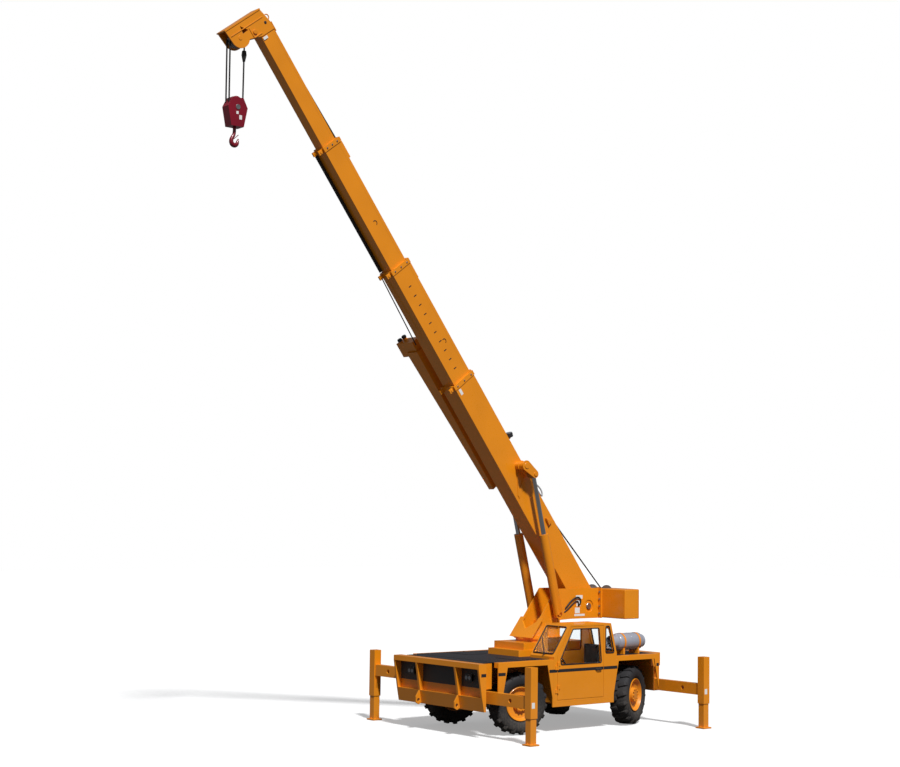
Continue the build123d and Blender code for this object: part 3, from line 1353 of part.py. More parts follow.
with BuildPart(head_frame) as hook_block:
    with BuildSketch(head_side):
        with BuildLine():
            Polyline(
                (-BLOCK_TOP_HALF, BLOCK_TOP_Z),
                (-BLOCK_HALF, BLOCK_TOP_Z - BLOCK_SHOULDER),
                (-BLOCK_LOW_HALF, BLOCK_LOW_Z),
                (BLOCK_LOW_HALF, BLOCK_LOW_Z),
                (BLOCK_HALF, BLOCK_TOP_Z - BLOCK_SHOULDER),
                (BLOCK_TOP_HALF, BLOCK_TOP_Z),
                close=True,
            )
        make_face()
    extrude(amount=BLOCK_HALF_T, both=True)
    with Locations((0, 0, BLOCK_LOW_Z)):
        Cylinder(SHANK_R + RUNNING_GAP, 2 * SHANK_IN + 4, mode=Mode.SUBTRACT)
hook_block.part.label = "hook_block"
export_step(hook_block.part, "parts/hook_block.step")

with BuildPart() as hook_falls:
    for fall_x, fall_y in ((FALL_X, -50), (FALL_X, 50), (-FALL_X, 0)):
        with Locations((MACHINE_X + head_x + fall_x, fall_y, head_z)):
            Cylinder(
                ROPE_R,
                head_z - BLOCK_TOP_Z + BLOCK_SHOULDER,
                align=(Align.CENTER, Align.CENTER, Align.MAX),
            )
    add(hook_block.part, mode=Mode.SUBTRACT)
hook_falls.part.label = "hook_falls"
export_step(hook_falls.part, "parts/hook_falls.step")

with BuildPart(head_frame) as hook:
    with Locations((0, 0, BLOCK_LOW_Z + SHANK_IN)):
        Cylinder(SHANK_R, SHANK_IN + SHANK_OUT, align=(Align.CENTER, Align.CENTER, Align.MAX))
    with Locations((0, 0, BLOCK_LOW_Z - MOVING_GAP)):
        Cylinder(SWIVEL_R, SWIVEL_H, align=(Align.CENTER, Align.CENTER, Align.MAX))
    with BuildSketch(head_side):
        with Locations((0, BLOCK_LOW_Z - SHANK_OUT - HOOK_R - HOOK_THICK + 20)):
            Circle(HOOK_R + HOOK_THICK)
            Circle(HOOK_R, mode=Mode.SUBTRACT)
            with Locations((HOOK_R + 40, 45)):
                Rectangle(125, 80, mode=Mode.SUBTRACT)
    extrude(amount=SHANK_R - 2, both=True)
hook.part.label = "hook"
export_step(hook.part, "parts/hook.step")
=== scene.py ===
# %% [markdown]
# # A deck crane with its boom raised
# The crane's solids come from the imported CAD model, which stays as a fixed frame. This
# script gives each of them a finish, adds the pieces that a CAD model leaves out, such as
# rope, hoses, lamps and window rubbers, and sets up the floor, light and camera. The
# solids could be modelled again here, but then two models would have to agree, so the
# script starts from the CAD ones and only dresses them.

# %% Load the frame
import bpy
import json
from math import atan2, cos, pi, radians, sin, tan
from mathutils import Euler, Matrix, Vector


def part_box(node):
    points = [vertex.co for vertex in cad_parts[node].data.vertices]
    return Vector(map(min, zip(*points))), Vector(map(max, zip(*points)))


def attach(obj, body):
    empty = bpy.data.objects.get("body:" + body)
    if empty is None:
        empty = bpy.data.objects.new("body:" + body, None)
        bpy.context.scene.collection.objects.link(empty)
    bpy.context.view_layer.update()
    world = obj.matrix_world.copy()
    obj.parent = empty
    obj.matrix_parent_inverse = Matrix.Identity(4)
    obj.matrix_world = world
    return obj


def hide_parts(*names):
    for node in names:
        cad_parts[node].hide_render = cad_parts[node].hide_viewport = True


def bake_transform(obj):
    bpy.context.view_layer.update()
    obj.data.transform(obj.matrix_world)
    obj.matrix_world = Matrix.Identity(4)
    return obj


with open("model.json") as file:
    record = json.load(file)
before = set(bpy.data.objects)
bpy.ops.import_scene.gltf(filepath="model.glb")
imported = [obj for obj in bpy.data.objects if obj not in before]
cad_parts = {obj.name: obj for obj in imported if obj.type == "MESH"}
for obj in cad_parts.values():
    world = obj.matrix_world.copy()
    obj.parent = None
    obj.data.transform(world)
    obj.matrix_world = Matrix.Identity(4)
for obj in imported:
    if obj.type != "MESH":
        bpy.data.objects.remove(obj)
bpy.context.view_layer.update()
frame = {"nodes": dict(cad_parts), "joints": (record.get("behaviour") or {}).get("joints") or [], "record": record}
nodes = frame["nodes"]

# %% [markdown]
# ## Places
# Most pieces sit on the chassis, so their places are given from the middle of the
# wheelbase, as a mechanic would measure them. The boom leans, and a place on it given in
# the room's x and z would say little. Its pieces are given along the boom and square to
# it, and one matrix turns them into place.

# %% Places: the chassis middle and the boom's own frame
joint_at = {joint["name"]: joint for joint in frame["joints"]}
front_axle_low, front_axle_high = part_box("front_axle")
rear_axle_low, rear_axle_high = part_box("rear_axle")
MIDDLE_X = (front_axle_low.x + front_axle_high.x + rear_axle_low.x + rear_axle_high.x) / 4
CHASSIS = Matrix.Translation((MIDDLE_X, 0, 0))

PIVOT = Vector(joint_at["boom_luff"]["pos_m"])
BOOM_AXIS = Vector(joint_at["boom_2_extend"]["axis"])
BOOM_UP = Vector((-BOOM_AXIS.z, 0, BOOM_AXIS.x))
PIVOT_ALONG, PIVOT_UP = -0.095, 0.104
DATUM = PIVOT - PIVOT_ALONG * BOOM_AXIS - PIVOT_UP * BOOM_UP
BOOM = Matrix.Translation(DATUM) @ Matrix(
    (
        (BOOM_AXIS.x, 0, BOOM_UP.x, 0),
        (0, 1, 0, 0),
        (BOOM_AXIS.z, 0, BOOM_UP.z, 0),
        (0, 0, 0, 1),
    )
)
HEAD = Vector(joint_at["hook_swing"]["pos_m"])
print("middle of the wheelbase at x =", round(MIDDLE_X, 3))


# %% [markdown]
# ## Finishes
# Paint on a machine like this is one coat of gloss orange. Three things keep it from
# looking like plastic: a slow drift of colour, a fine ripple in the surface and dust that
# gathers low down. Painted image maps could show them too, but they would have to be
# unwrapped on every piece. Noise on Object coordinates needs no unwrapping, so it is built
# once in two node groups, and each finish uses them with its own values.

# %% Helpers for node groups and materials
def new_group(name, inputs, outputs):
    """An empty shader node group with float and colour sockets."""
    tree = bpy.data.node_groups.new(name, "ShaderNodeTree")
    for label, kind, value in inputs:
        socket = tree.interface.new_socket(label, in_out="INPUT", socket_type=kind)
        socket.default_value = value
    for label, kind in outputs:
        tree.interface.new_socket(label, in_out="OUTPUT", socket_type=kind)
    start = tree.nodes.new("NodeGroupInput")
    end = tree.nodes.new("NodeGroupOutput")
    return tree, start, end


def add_node(tree, kind, links=(), **values):
    """A node with its settings, its socket values and its incoming links."""
    node = tree.nodes.new("ShaderNode" + kind)
    for name, value in values.items():
        if hasattr(node, name):
            setattr(node, name, value)
        else:
            node.inputs[name.replace("_", " ")].default_value = value
    for socket, source in links:
        tree.links.new(source, node.inputs[socket])
    return node


FLOAT = "NodeSocketFloat"
COLOUR = "NodeSocketColor"
NORMAL = "NodeSocketVector"

# %% [markdown]
# ### Weathering
# Sun and rain fade paint in broad patches, and a site's dust sticks to what is near the
# ground. A broad noise makes the patches and shifts the colour's value. A fine noise breaks
# the dust into specks, and the height above the ground fades it out. The group puts out
# the weathered colour and a mask of the dirt, so that a finish can be dull where it is dirty.

# %% The weathering group: its sockets, its two noises and the height
weathering, start, end = new_group(
    "weathering",
    (
        ("Colour", COLOUR, (1, 1, 1, 1)),
        ("Drift", FLOAT, 0.08),
        ("Dust", FLOAT, 0.3),
        ("Dust height", FLOAT, 1.2),
    ),
    (("Colour", COLOUR), ("Dirt", FLOAT)),
)
place = add_node(weathering, "TexCoord")
drift = add_node(
    weathering, "TexNoise", [("Vector", place.outputs["Object"])], Scale=1.7, Detail=5.0
)
grain = add_node(
    weathering, "TexNoise", [("Vector", place.outputs["Object"])], Scale=38.0, Detail=4.0
)
height = add_node(weathering, "SeparateXYZ", [("Vector", place.outputs["Object"])])
low = add_node(
    weathering,
    "MapRange",
    [("Value", height.outputs["Z"]), ("From Min", start.outputs["Dust height"])],
    From_Max=0.0,
    To_Min=0.0,
    To_Max=1.0,
)
print("weathering inputs:", len(start.outputs) - 1)

# %% The dirt: patches and specks, only low down
patches = add_node(
    weathering,
    "MapRange",
    [("Value", drift.outputs["Fac"])],
    From_Min=0.35,
    From_Max=0.75,
)
specks = add_node(
    weathering,
    "MapRange",
    [("Value", grain.outputs["Fac"])],
    From_Min=0.42,
    From_Max=0.72,
)
both = add_node(
    weathering,
    "Math",
    [(0, patches.outputs["Result"]), (1, specks.outputs["Result"])],
    operation="ADD",
)
dirt = add_node(
    weathering,
    "Math",
    [(0, both.outputs[0]), (1, low.outputs["Result"])],
    operation="MULTIPLY",
)
amount = add_node(
    weathering,
    "Math",
    [(0, dirt.outputs[0]), (1, start.outputs["Dust"])],
    operation="MULTIPLY",
    use_clamp=True,
)

# %% The colour: shifted by the patches and mixed with dust
DUST = (0.30, 0.25, 0.19, 1.0)
shade = add_node(
    weathering,
    "MapRange",
    [("Value", drift.outputs["Fac"])],
    From_Min=0.3,
    From_Max=0.7,
    To_Min=-1.0,
    To_Max=1.0,
)
swing = add_node(
    weathering,
    "Math",
    [(0, shade.outputs["Result"]), (1, start.outputs["Drift"])],
    operation="MULTIPLY_ADD",
)
swing.inputs[2].default_value = 1.0
toned = add_node(
    weathering,
    "HueSaturation",
    [("Color", start.outputs["Colour"]), ("Value", swing.outputs[0])],
)
dusty = add_node(
    weathering,
    "MixRGB",
    [("Fac", amount.outputs[0]), ("Color1", toned.outputs["Color"])],
    Color2=DUST,
)
weathering.links.new(dusty.outputs["Color"], end.inputs["Colour"])
weathering.links.new(amount.outputs[0], end.inputs["Dirt"])
print("weathering nodes:", len(weathering.nodes))

# %% [markdown]
# ### Ripple
# Sprayed paint, cast iron and moulded rubber are never quite flat. The unevenness is far
# too fine to model, so a Bump node turns a noise into a normal. The noise itself comes out
# too, because a finish also varies its roughness with it.

# %% The ripple group: a fine uneven surface, as a normal
ripple, start, end = new_group(
    "ripple",
    (("Scale", FLOAT, 60.0), ("Height", FLOAT, 0.1), ("Depth", FLOAT, 0.002)),
    (("Normal", NORMAL), ("Pattern", FLOAT)),
)
place = add_node(ripple, "TexCoord")
waves = add_node(
    ripple,
    "TexNoise",
    [("Vector", place.outputs["Object"]), ("Scale", start.outputs["Scale"])],
    Detail=3.0,
)
bump = add_node(
    ripple,
    "Bump",
    [
        ("Height", waves.outputs["Fac"]),
        ("Strength", start.outputs["Height"]),
        ("Distance", start.outputs["Depth"]),
    ],
)
ripple.links.new(bump.outputs["Normal"], end.inputs["Normal"])
ripple.links.new(waves.outputs["Fac"], end.inputs["Pattern"])
print("ripple nodes:", len(ripple.nodes))

# %% [markdown]
# ### One finish
# Every finish on the machine is a Principled BSDF fed by the two groups. The shader stays
# in the material, and only colour, roughness and normal are linked, so that each of the
# other values can be read straight from its socket.

# %% A finish: one Principled BSDF fed by the two groups
CLEAR_COAT_ROUGHNESS = 0.08
LEAST_ROUGHNESS = 0.02


def finish(name, colour, roughness, metallic=0.0, coat=0.0, drift=0.06, dust=0.25,
           dust_height=1.3, ripple_scale=60.0, ripple_height=0.1, rough_swing=0.12):
    """A material with drifting colour, low dust and a rippled surface."""
    material = bpy.data.materials.new(name)
    material.use_nodes = True
    tree = material.node_tree
    shader = tree.nodes["Principled BSDF"]
    weather = tree.nodes.new("ShaderNodeGroup")
    weather.node_tree = weathering
    weather.inputs["Colour"].default_value = (*colour, 1.0)
    weather.inputs["Drift"].default_value = drift
    weather.inputs["Dust"].default_value = dust
    weather.inputs["Dust height"].default_value = dust_height
    surface = tree.nodes.new("ShaderNodeGroup")
    surface.node_tree = ripple
    surface.inputs["Scale"].default_value = ripple_scale
    surface.inputs["Height"].default_value = ripple_height
    rough = add_node(
        tree,
        "MapRange",
        [("Value", surface.outputs["Pattern"])],
        From_Min=0.3,
        From_Max=0.7,
        To_Min=max(LEAST_ROUGHNESS, roughness - rough_swing),
        To_Max=roughness + rough_swing,
    )
    dull = add_node(
        tree,
        "Math",
        [(0, weather.outputs["Dirt"]), (1, rough.outputs["Result"])],
        operation="ADD",
        use_clamp=True,
    )
    tree.links.new(weather.outputs["Colour"], shader.inputs["Base Color"])
    tree.links.new(dull.outputs[0], shader.inputs["Roughness"])
    tree.links.new(surface.outputs["Normal"], shader.inputs["Normal"])
    shader.inputs["Metallic"].default_value = metallic
    shader.inputs["Coat Weight"].default_value = coat
    shader.inputs["Coat Roughness"].default_value = CLEAR_COAT_ROUGHNESS
    return material


# %% [markdown]
# ### The machine's finishes
# The body and the boom share one orange. The frame below wears a duller one, because it is
# brushed on and takes the dirt. The deck's paint has grit in it, which its ripple shows,
# the hook block is dark red, and rods, bolts and rope are bare metal.

# %% Paints
ORANGE = (0.80, 0.265, 0.006)
paint = finish("orange_paint", ORANGE, 0.34, coat=0.35, drift=0.05, dust=0.10)
frame_paint = finish("frame_orange_paint", (0.72, 0.235, 0.008), 0.45, drift=0.07, dust=0.30)
deck_paint = finish(
    "deck_grip_paint", (0.010, 0.009, 0.013), 0.62, drift=0.2, dust=0.10,
    ripple_scale=240.0, ripple_height=0.6,
)
hook_paint = finish("hook_red_paint", (0.21, 0.003, 0.016), 0.35, coat=0.15, drift=0.15)
tank_paint = finish("tank_grey_paint", (0.30, 0.31, 0.36), 0.32, coat=0.2, drift=0.08)

# %% Metals
cast_iron = finish("engine_iron", (0.05, 0.05, 0.055), 0.7, metallic=0.4, ripple_scale=150.0)
steel = finish("plain_steel", (0.35, 0.35, 0.36), 0.38, metallic=0.9, drift=0.12, dust=0.2)
chrome = finish("rod_chrome", (0.62, 0.62, 0.64), 0.12, metallic=1.0, drift=0.04, dust=0.05)
wire = finish("greased_wire", (0.035, 0.033, 0.032), 0.5, metallic=0.6, ripple_scale=300.0)

# %% Rubber, cloth, plastic and films
tyre_rubber = finish(
    "tyre_rubber", (0.015, 0.014, 0.016), 0.78, drift=0.18, dust=0.22,
    dust_height=0.9, ripple_scale=130.0, ripple_height=0.35,
)
seat_cloth = finish("seat_cloth", (0.030, 0.027, 0.027), 0.85, ripple_scale=500.0,
                    ripple_height=0.5)
plastic = finish("black_plastic", (0.022, 0.022, 0.025), 0.5, ripple_scale=300.0)
rubber_seal = finish("window_rubber", (0.012, 0.012, 0.013), 0.6, ripple_scale=200.0)
stripe_black = finish("stripe_black", (0.016, 0.016, 0.018), 0.35, coat=0.2, dust=0.08)
label_white = finish("label_white", (0.78, 0.78, 0.76), 0.4, drift=0.03, dust=0.05)
print("plain finishes:", len(bpy.data.materials))

# %% [markdown]
# ### Window glass
# A pane is clear, so it can't use the finish above: it takes a full transmission and a low
# index, because a thin sheet hardly bends what is seen through it. The ripple group only
# varies its roughness, like a wiped film of dust.

# %% Window glass
glass = bpy.data.materials.new("window_glass")
glass.use_nodes = True
pane = glass.node_tree.nodes["Principled BSDF"]
smear = glass.node_tree.nodes.new("ShaderNodeGroup")
smear.node_tree = ripple
smear.inputs["Scale"].default_value = 4.0
smear.inputs["Height"].default_value = 0.05
streak = add_node(
    glass.node_tree, "MapRange", [("Value", smear.outputs["Pattern"])], To_Min=0.02, To_Max=0.12
)
glass.node_tree.links.new(streak.outputs["Result"], pane.inputs["Roughness"])
pane.inputs["Base Color"].default_value = (0.90, 0.93, 0.94, 1.0)
pane.inputs["Transmission Weight"].default_value = 1.0
pane.inputs["IOR"].default_value = 1.1
print("finishes:", len(bpy.data.materials))

# %% [markdown]
# ### The finishes on the CAD solids
# Each solid of the CAD model names the kind of material it is made of. A table gives the
# finish of each kind, so that no solid has to be painted by hand.

# %% Each CAD node gets its finish
FINISH_OF_SLOT = {
    "paint": paint,
    "deck_paint": deck_paint,
    "frame_paint": frame_paint,
    "hook_paint": hook_paint,
    "tank_paint": tank_paint,
    "engine": cast_iron,
    "steel": steel,
    "rod_chrome": chrome,
    "rope": wire,
    "tyre": tyre_rubber,
    "glass": glass,
    "seat": seat_cloth,
    "plastic": plastic,
}
slot_of_node = {
    subpart["node"]: subpart["material_slot"] for subpart in frame["record"]["subparts"]
}
for name, node in nodes.items():
    while len(node.material_slots) > 1:
        node.data.materials.pop()
    if not node.material_slots:
        node.data.materials.append(None)
    node.material_slots[0].material = FINISH_OF_SLOT[slot_of_node[name]]
print("nodes with a finish:", len(nodes))

# %% [markdown]
# ## Tools of the workshop
# Every piece below starts as a primitive at the origin, is shaped there in edit mode, and is
# then carried to its place by one matrix. It could be modelled where it stands, but then
# nothing could be mirrored or copied simply. The place is left in its mesh, as in the CAD
# nodes, so a pattern on Object coordinates has the same scale on every piece.

# %% Helpers: choose pieces, open them for editing and set them in place
HERE = Matrix.Identity(4)
SAME_POINT = 0.00005  # vertices closer than this are one
AXIS_GAP = 0.0002  # a spun outline stays this far off its axis


def alone(*pieces):
    """Selects only these pieces and makes the first one active."""
    bpy.ops.object.select_all(action="DESELECT")
    for piece in pieces:
        piece.select_set(True)
    bpy.context.view_layer.objects.active = pieces[0]


def open_all(piece):
    """Opens a piece in edit mode with all of it selected."""
    alone(piece)
    bpy.ops.object.mode_set(mode="EDIT")
    bpy.ops.mesh.select_all(action="SELECT")


def close(piece):
    """Leaves edit mode and returns the piece."""
    bpy.ops.object.mode_set(mode="OBJECT")
    return piece


def settle(piece, where=HERE):
    """Carries a piece to its place and leaves that place in its mesh."""
    bpy.context.view_layer.update()
    piece.matrix_world = where @ piece.matrix_world
    alone(piece)
    bpy.ops.object.transform_apply(location=True, rotation=True, scale=True)
    return piece


def copy_of(piece, where=HERE):
    """A copy with its own mesh, carried to its place."""
    alone(piece)
    bpy.ops.object.duplicate(linked=False)
    return settle(bpy.context.object, where)


def joined(*pieces):
    """Several pieces as one mesh."""
    alone(*pieces)
    bpy.ops.object.join()
    return bpy.context.object


def smooth(piece, degrees_sharp=35):
    """Smooth shading that stays crisp where faces meet at more than this angle."""
    alone(piece)
    bpy.ops.object.shade_smooth_by_angle(angle=radians(degrees_sharp))
    return piece


def fit(piece, name, body, material, replaced=()):
    """Names a finished piece and gives it its finish, its body and the nodes it stands for."""
    piece.name = name
    piece.data.name = name
    piece.data.materials.clear()
    piece.data.materials.append(material)
    if body:
        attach(piece, body)
    if replaced:
        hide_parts(*replaced)
    return piece


# %% [markdown]
# ### Forms that the pieces start from
# Most trim is one of four things: a block, a plate cut to an outline, a turned part or a
# bent pipe. Each has a helper that adds the primitive, shapes it in edit mode and rounds
# its edges, because a knife edge catches no light and looks false up close.

# %% Helpers: block, outline and plate
STAND = Matrix.Rotation(pi / 2, 4, "X")  # stands a flat outline up, its Y along +Z


def block(size, edge=0.004, where=HERE):
    """A bar or plate of this size with rounded edges, its middle at its place."""
    bpy.ops.object.select_all(action="DESELECT")
    bpy.ops.mesh.primitive_cube_add(size=1)
    piece = bpy.context.object
    piece.scale = size
    settle(piece)
    open_all(piece)
    bpy.ops.mesh.bevel(offset=edge, segments=2, affect="EDGES")
    close(piece)
    return settle(piece, where)


def outline(points):
    """A closed loop of vertices, one at each (x, y, z) point."""
    bpy.ops.object.select_all(action="DESELECT")
    bpy.ops.mesh.primitive_circle_add(vertices=len(points))
    loop = bpy.context.object
    for vertex, point in zip(loop.data.vertices, points):
        vertex.co = point
    return loop


def plate(points, thickness, edge=0.0):
    """A flat outline in X and Y, filled and given this thickness along +Z."""
    piece = outline([(x, y, 0) for x, y in points])
    open_all(piece)
    bpy.ops.mesh.edge_face_add()
    bpy.ops.mesh.extrude_region_move(TRANSFORM_OT_translate={"value": (0, 0, thickness)})
    bpy.ops.mesh.select_all(action="SELECT")
    bpy.ops.mesh.normals_make_consistent(inside=False)
    if edge:
        bpy.ops.mesh.bevel(offset=edge, segments=2, affect="EDGES")
    return close(piece)


# %% Helpers: turned parts, discs and six-sided heads
def turned(profile, steps=64):
    """A closed outline of (radius, height) points, spun once round the Z axis."""
    piece = outline([(radius, 0, height) for radius, height in profile])
    open_all(piece)
    bpy.ops.mesh.spin(steps=steps, angle=2 * pi, center=(0, 0, 0), axis=(0, 0, 1))
    bpy.ops.mesh.select_all(action="SELECT")
    bpy.ops.mesh.remove_doubles(threshold=SAME_POINT)
    bpy.ops.mesh.normals_make_consistent(inside=False)
    close(piece)
    return smooth(piece)


def disc(radius, height, edge=0.003, steps=40):
    """A turned disc standing on z = 0, with its rims chamfered."""
    return turned(
        (
            (AXIS_GAP, 0),
            (radius - edge, 0),
            (radius, edge),
            (radius, height - edge),
            (radius - edge, height),
            (AXIS_GAP, height),
        ),
        steps,
    )


def six_sided(radius, height, middle_z=0.0):
    """A plain six-sided bolt head or nut, its middle at this height."""
    bpy.ops.object.select_all(action="DESELECT")
    bpy.ops.mesh.primitive_cylinder_add(
        vertices=6, radius=radius, depth=height, location=(0, 0, middle_z)
    )
    return settle(bpy.context.object)


def ring_of(piece, count, radius, where=HERE, start=0.0):
    """Copies of a piece evenly round the Z axis at a radius, then set in place."""
    copies = []
    for index in range(count):
        turn = Matrix.Rotation(start + 2 * pi * index / count, 4, "Z")
        copies.append(copy_of(piece, where @ turn @ Matrix.Translation((radius, 0, 0))))
    bpy.data.objects.remove(piece)
    return copies


# %% Helpers: pipes and outlines with round corners
def pipe(points, radius, closed=False, order=3, sides=4):
    """A round pipe, hose or rope along points, made from a curve."""
    line = bpy.data.curves.new("line", "CURVE")
    line.dimensions = "3D"
    run = line.splines.new("NURBS")
    run.points.add(len(points) - 1)
    for spot, point in zip(run.points, points):
        spot.co = (*point, 1.0)
    run.order_u = order
    run.use_endpoint_u = not closed
    run.use_cyclic_u = closed
    run.resolution_u = 6
    line.bevel_depth = radius
    line.bevel_resolution = sides
    line.use_fill_caps = True
    piece = bpy.data.objects.new("pipe", line)
    bpy.context.collection.objects.link(piece)
    alone(piece)
    bpy.ops.object.convert(target="MESH")
    return smooth(bpy.context.object, 50)


def round_corners(points, radius, steps=5):
    """The corners of a closed outline in X and Y turned into arcs of one radius."""
    rounded_points = []
    for index, here in enumerate(points):
        corner = Vector(here)
        before = (Vector(points[index - 1]) - corner).normalized()
        after = (Vector(points[(index + 1) % len(points)]) - corner).normalized()
        half = before.angle(after) / 2
        reach = radius / tan(half)
        middle = corner + (before + after).normalized() * radius / sin(half)
        start = corner + before * reach - middle
        sweep = start.angle_signed(corner + after * reach - middle)
        for step in range(steps + 1):
            turn = Matrix.Rotation(-sweep * step / steps, 2)
            rounded_points.append(tuple(middle + turn @ start))
    return rounded_points


# %% Helpers: frames in which places are given
def chassis_at(x, y, z, turn=(0, 0, 0)):
    """A place on the machine: x from the middle of the wheelbase, z from the ground."""
    return CHASSIS @ Matrix.LocRotScale(Vector((x, y, z)), Euler(turn), None)


def boom_at(along, up, y, turn=(0, 0, 0)):
    """A place on the boom: along it, square to it and to its left."""
    return BOOM @ Matrix.LocRotScale(Vector((along, y, up)), Euler(turn), None)


FACE_LEFT = (-pi / 2, 0, 0)
FACE_RIGHT = (pi / 2, 0, 0)
FACE_FRONT = (0, pi / 2, 0)
FACE_REAR = (0, -pi / 2, 0)
# side, hand (+1 to the left), turn that faces that side
SIDES = (("left", 1, FACE_LEFT), ("right", -1, FACE_RIGHT))
CORNERS = ("front_left", "front_right", "rear_left", "rear_right")

# %% [markdown]
# ## The CAD solids with rounded edges
# Sheet steel has no knife edges: each bend and each cut edge catches a thin line of light.
# A Bevel modifier on a CAD node would break up on its loose triangles, and a node's mesh is
# left alone. A copy of it is merged instead, its flat faces are cleaned, its sharp edges
# are bevelled by a few millimetres, and it stands for the node. Weighted normals keep its
# large faces flat in the light.

# %% The rounded copy of a CAD node
BODIES = frame["record"]["behaviour"]["bodies"]
FLAT_WITHIN = radians(0.4)
SHARP_FROM = radians(38)
CRISP_DEGREES = 32


def rounded(name, edge):
    """A merged copy of a CAD node with its sharp edges bevelled, in the node's finish."""
    source = nodes[name]
    piece = bpy.data.objects.new(name, source.data.copy())
    bpy.context.collection.objects.link(piece)
    piece.matrix_world = source.matrix_world
    open_all(piece)
    bpy.ops.mesh.remove_doubles(threshold=SAME_POINT)
    bpy.ops.mesh.dissolve_limited(angle_limit=FLAT_WITHIN)
    if edge:
        bpy.ops.mesh.select_all(action="DESELECT")
        bpy.ops.mesh.edges_select_sharp(sharpness=SHARP_FROM)
        bpy.ops.mesh.bevel(offset=edge, segments=2, affect="EDGES", clamp_overlap=True)
    close(piece)
    smooth(piece, CRISP_DEGREES)
    flat = piece.modifiers.new("flat_faces", "WEIGHTED_NORMAL")
    flat.keep_sharp = True
    bpy.ops.object.modifier_apply(modifier=flat.name)
    body = next(body for body, held in BODIES.items() if name in held)
    material = FINISH_OF_SLOT[slot_of_node[name]]
    return fit(piece, name + "_finished", body, material, (name,))


# %% Cast and folded pieces, and how far their edges are rounded
EDGES = {
    # the size of each bevel, where 0.0 only merges and smooths the copy
    "counterweight": 0.016,
    "side_tank": 0.02,
    "hook_block": 0.014,
    "engine_block": 0.012,
    "pedestal": 0.006,
    "front_axle": 0.006,
    "rear_axle": 0.006,
    "cab_shell": 0.005,
    "cab_door": 0.004,
    "body_sides": 0.004,
    "front_bumper": 0.004,
    "headlamps": 0.004,
    "rear_end": 0.004,
    "turret": 0.003,
    "boom_base": 0.0015,
    "boom_3": 0.0015,
    "boom_4": 0.0015,
    "stowed_jib": 0.0015,
    "chassis_frame": 0.001,
    "deck": 0.001,
    "lamp_panels": 0.001,
    "tank_bracket": 0.001,
    "boom_2": 0.0,
    "lift_barrels": 0.0,
    "lift_rods": 0.0,
}
for corner in CORNERS:
    EDGES[corner + "_beam"] = 0.0012
    EDGES[corner + "_jack"] = 0.003
    EDGES[corner + "_knuckle"] = 0.003
finished = [rounded(name, edge) for name, edge in EDGES.items()]
print("rounded copies:", len(finished))

# %% [markdown]
# ## Tyres
# A site tyre is a smooth carcass with slanted rubber bars that bite into soft ground. The
# bars stand in two rows, one for each half of the tread, half a step apart. A bump pattern
# would leave the tyre's outline round, so the bars are modelled: the carcass is one outline
# spun round the axle, and one bar is cut from a plate in the outline of its side, turned
# by its slant and copied round.

# %% The carcass and the bars of the tread
CARCASS = (
    # radius and height of one half, from the rim out to the tread
    (0.314, 0.146),
    (0.331, 0.156),
    (0.345, 0.163),
    (0.352, 0.171),
    (0.372, 0.179),
    (0.410, 0.187),
    (0.440, 0.189),
    (0.472, 0.186),
    (0.500, 0.173),
    (0.521, 0.150),
    (0.534, 0.115),
    (0.540, 0.060),
)
LUG_SIDE = (
    (0.500, 0.004),
    (0.5645, 0.008),
    (0.5635, 0.136),
    (0.550, 0.156),
    (0.515, 0.174),
    (0.472, 0.184),
    (0.466, 0.172),
    (0.500, 0.150),
)
LUGS = 18
LUG_WIDTH = 0.072
LUG_EDGE = 0.005
LUG_MIDDLE = 0.084
LUG_SLANT = radians(18)
LUG_STAGGER = radians(4.5)


def mirrored(half):
    """The outline of one half, followed by its mirror image below z = 0."""
    return half + tuple((radius, -height) for radius, height in reversed(half))


carcass = turned(mirrored(CARCASS), 72)
centred = Matrix.Translation((0, LUG_WIDTH / 2, 0)) @ STAND
about = Matrix.Translation((0, 0, LUG_MIDDLE))
slanted = about @ Matrix.Rotation(LUG_SLANT, 4, "X") @ about.inverted()
turned_over = Matrix.Rotation(pi, 4, "X")
lugs = []
for half, flip in ((1, HERE), (-1, turned_over)):
    lug = settle(plate(LUG_SIDE, LUG_WIDTH, LUG_EDGE), flip @ slanted @ centred)
    lugs += ring_of(lug, LUGS, 0.0, start=pi / LUGS + half * LUG_STAGGER)
tyre = smooth(joined(carcass, *lugs), 30)
print("tyre faces:", len(tyre.data.polygons))

# %% [markdown]
# ## Rims
# The rim is a dished steel disc welded into a rolled band, with nuts round its hub. The
# whole wheel is round, so its section is spun in one piece, as it would be turned on a
# lathe, and the nuts are six-sided cylinders set in a ring.

# %% One rim round the Z axis
RIM_SECTION = (
    # radius and height, over the band's outside and dish, then back inside
    (0.3115, -0.166),
    (0.3115, 0.166),
    (0.306, 0.170),
    (0.298, 0.168),
    (0.290, 0.152),
    (0.278, 0.140),
    (0.270, 0.120),
    (0.258, 0.110),
    (0.205, 0.104),
    (0.165, 0.092),
    (0.142, 0.096),
    (0.137, 0.150),
    (0.126, 0.158),
    (0.086, 0.158),
    (0.080, 0.168),
    (AXIS_GAP, 0.168),
    (AXIS_GAP, 0.078),
    (0.150, 0.078),
    (0.205, 0.090),
    (0.256, 0.096),
    (0.260, 0.050),
    (0.262, -0.110),
    (0.294, -0.166),
)
NUTS = 10
NUT_CIRCLE = 0.112
NUT_Z = 0.168
rim = turned(RIM_SECTION, 64)
nuts = ring_of(six_sided(0.015, 0.022, NUT_Z), NUTS, NUT_CIRCLE)
rim = smooth(joined(rim, *nuts), 30)
print("rim faces:", len(rim.data.polygons))

# %% [markdown]
# ### Four wheels
# A wheel's axle points out of the machine on its own side and turns with the steering. The
# joint's axis and place give both, so each wheel is a copy of the tyre and the rim with
# its Z axis laid along its own joint.

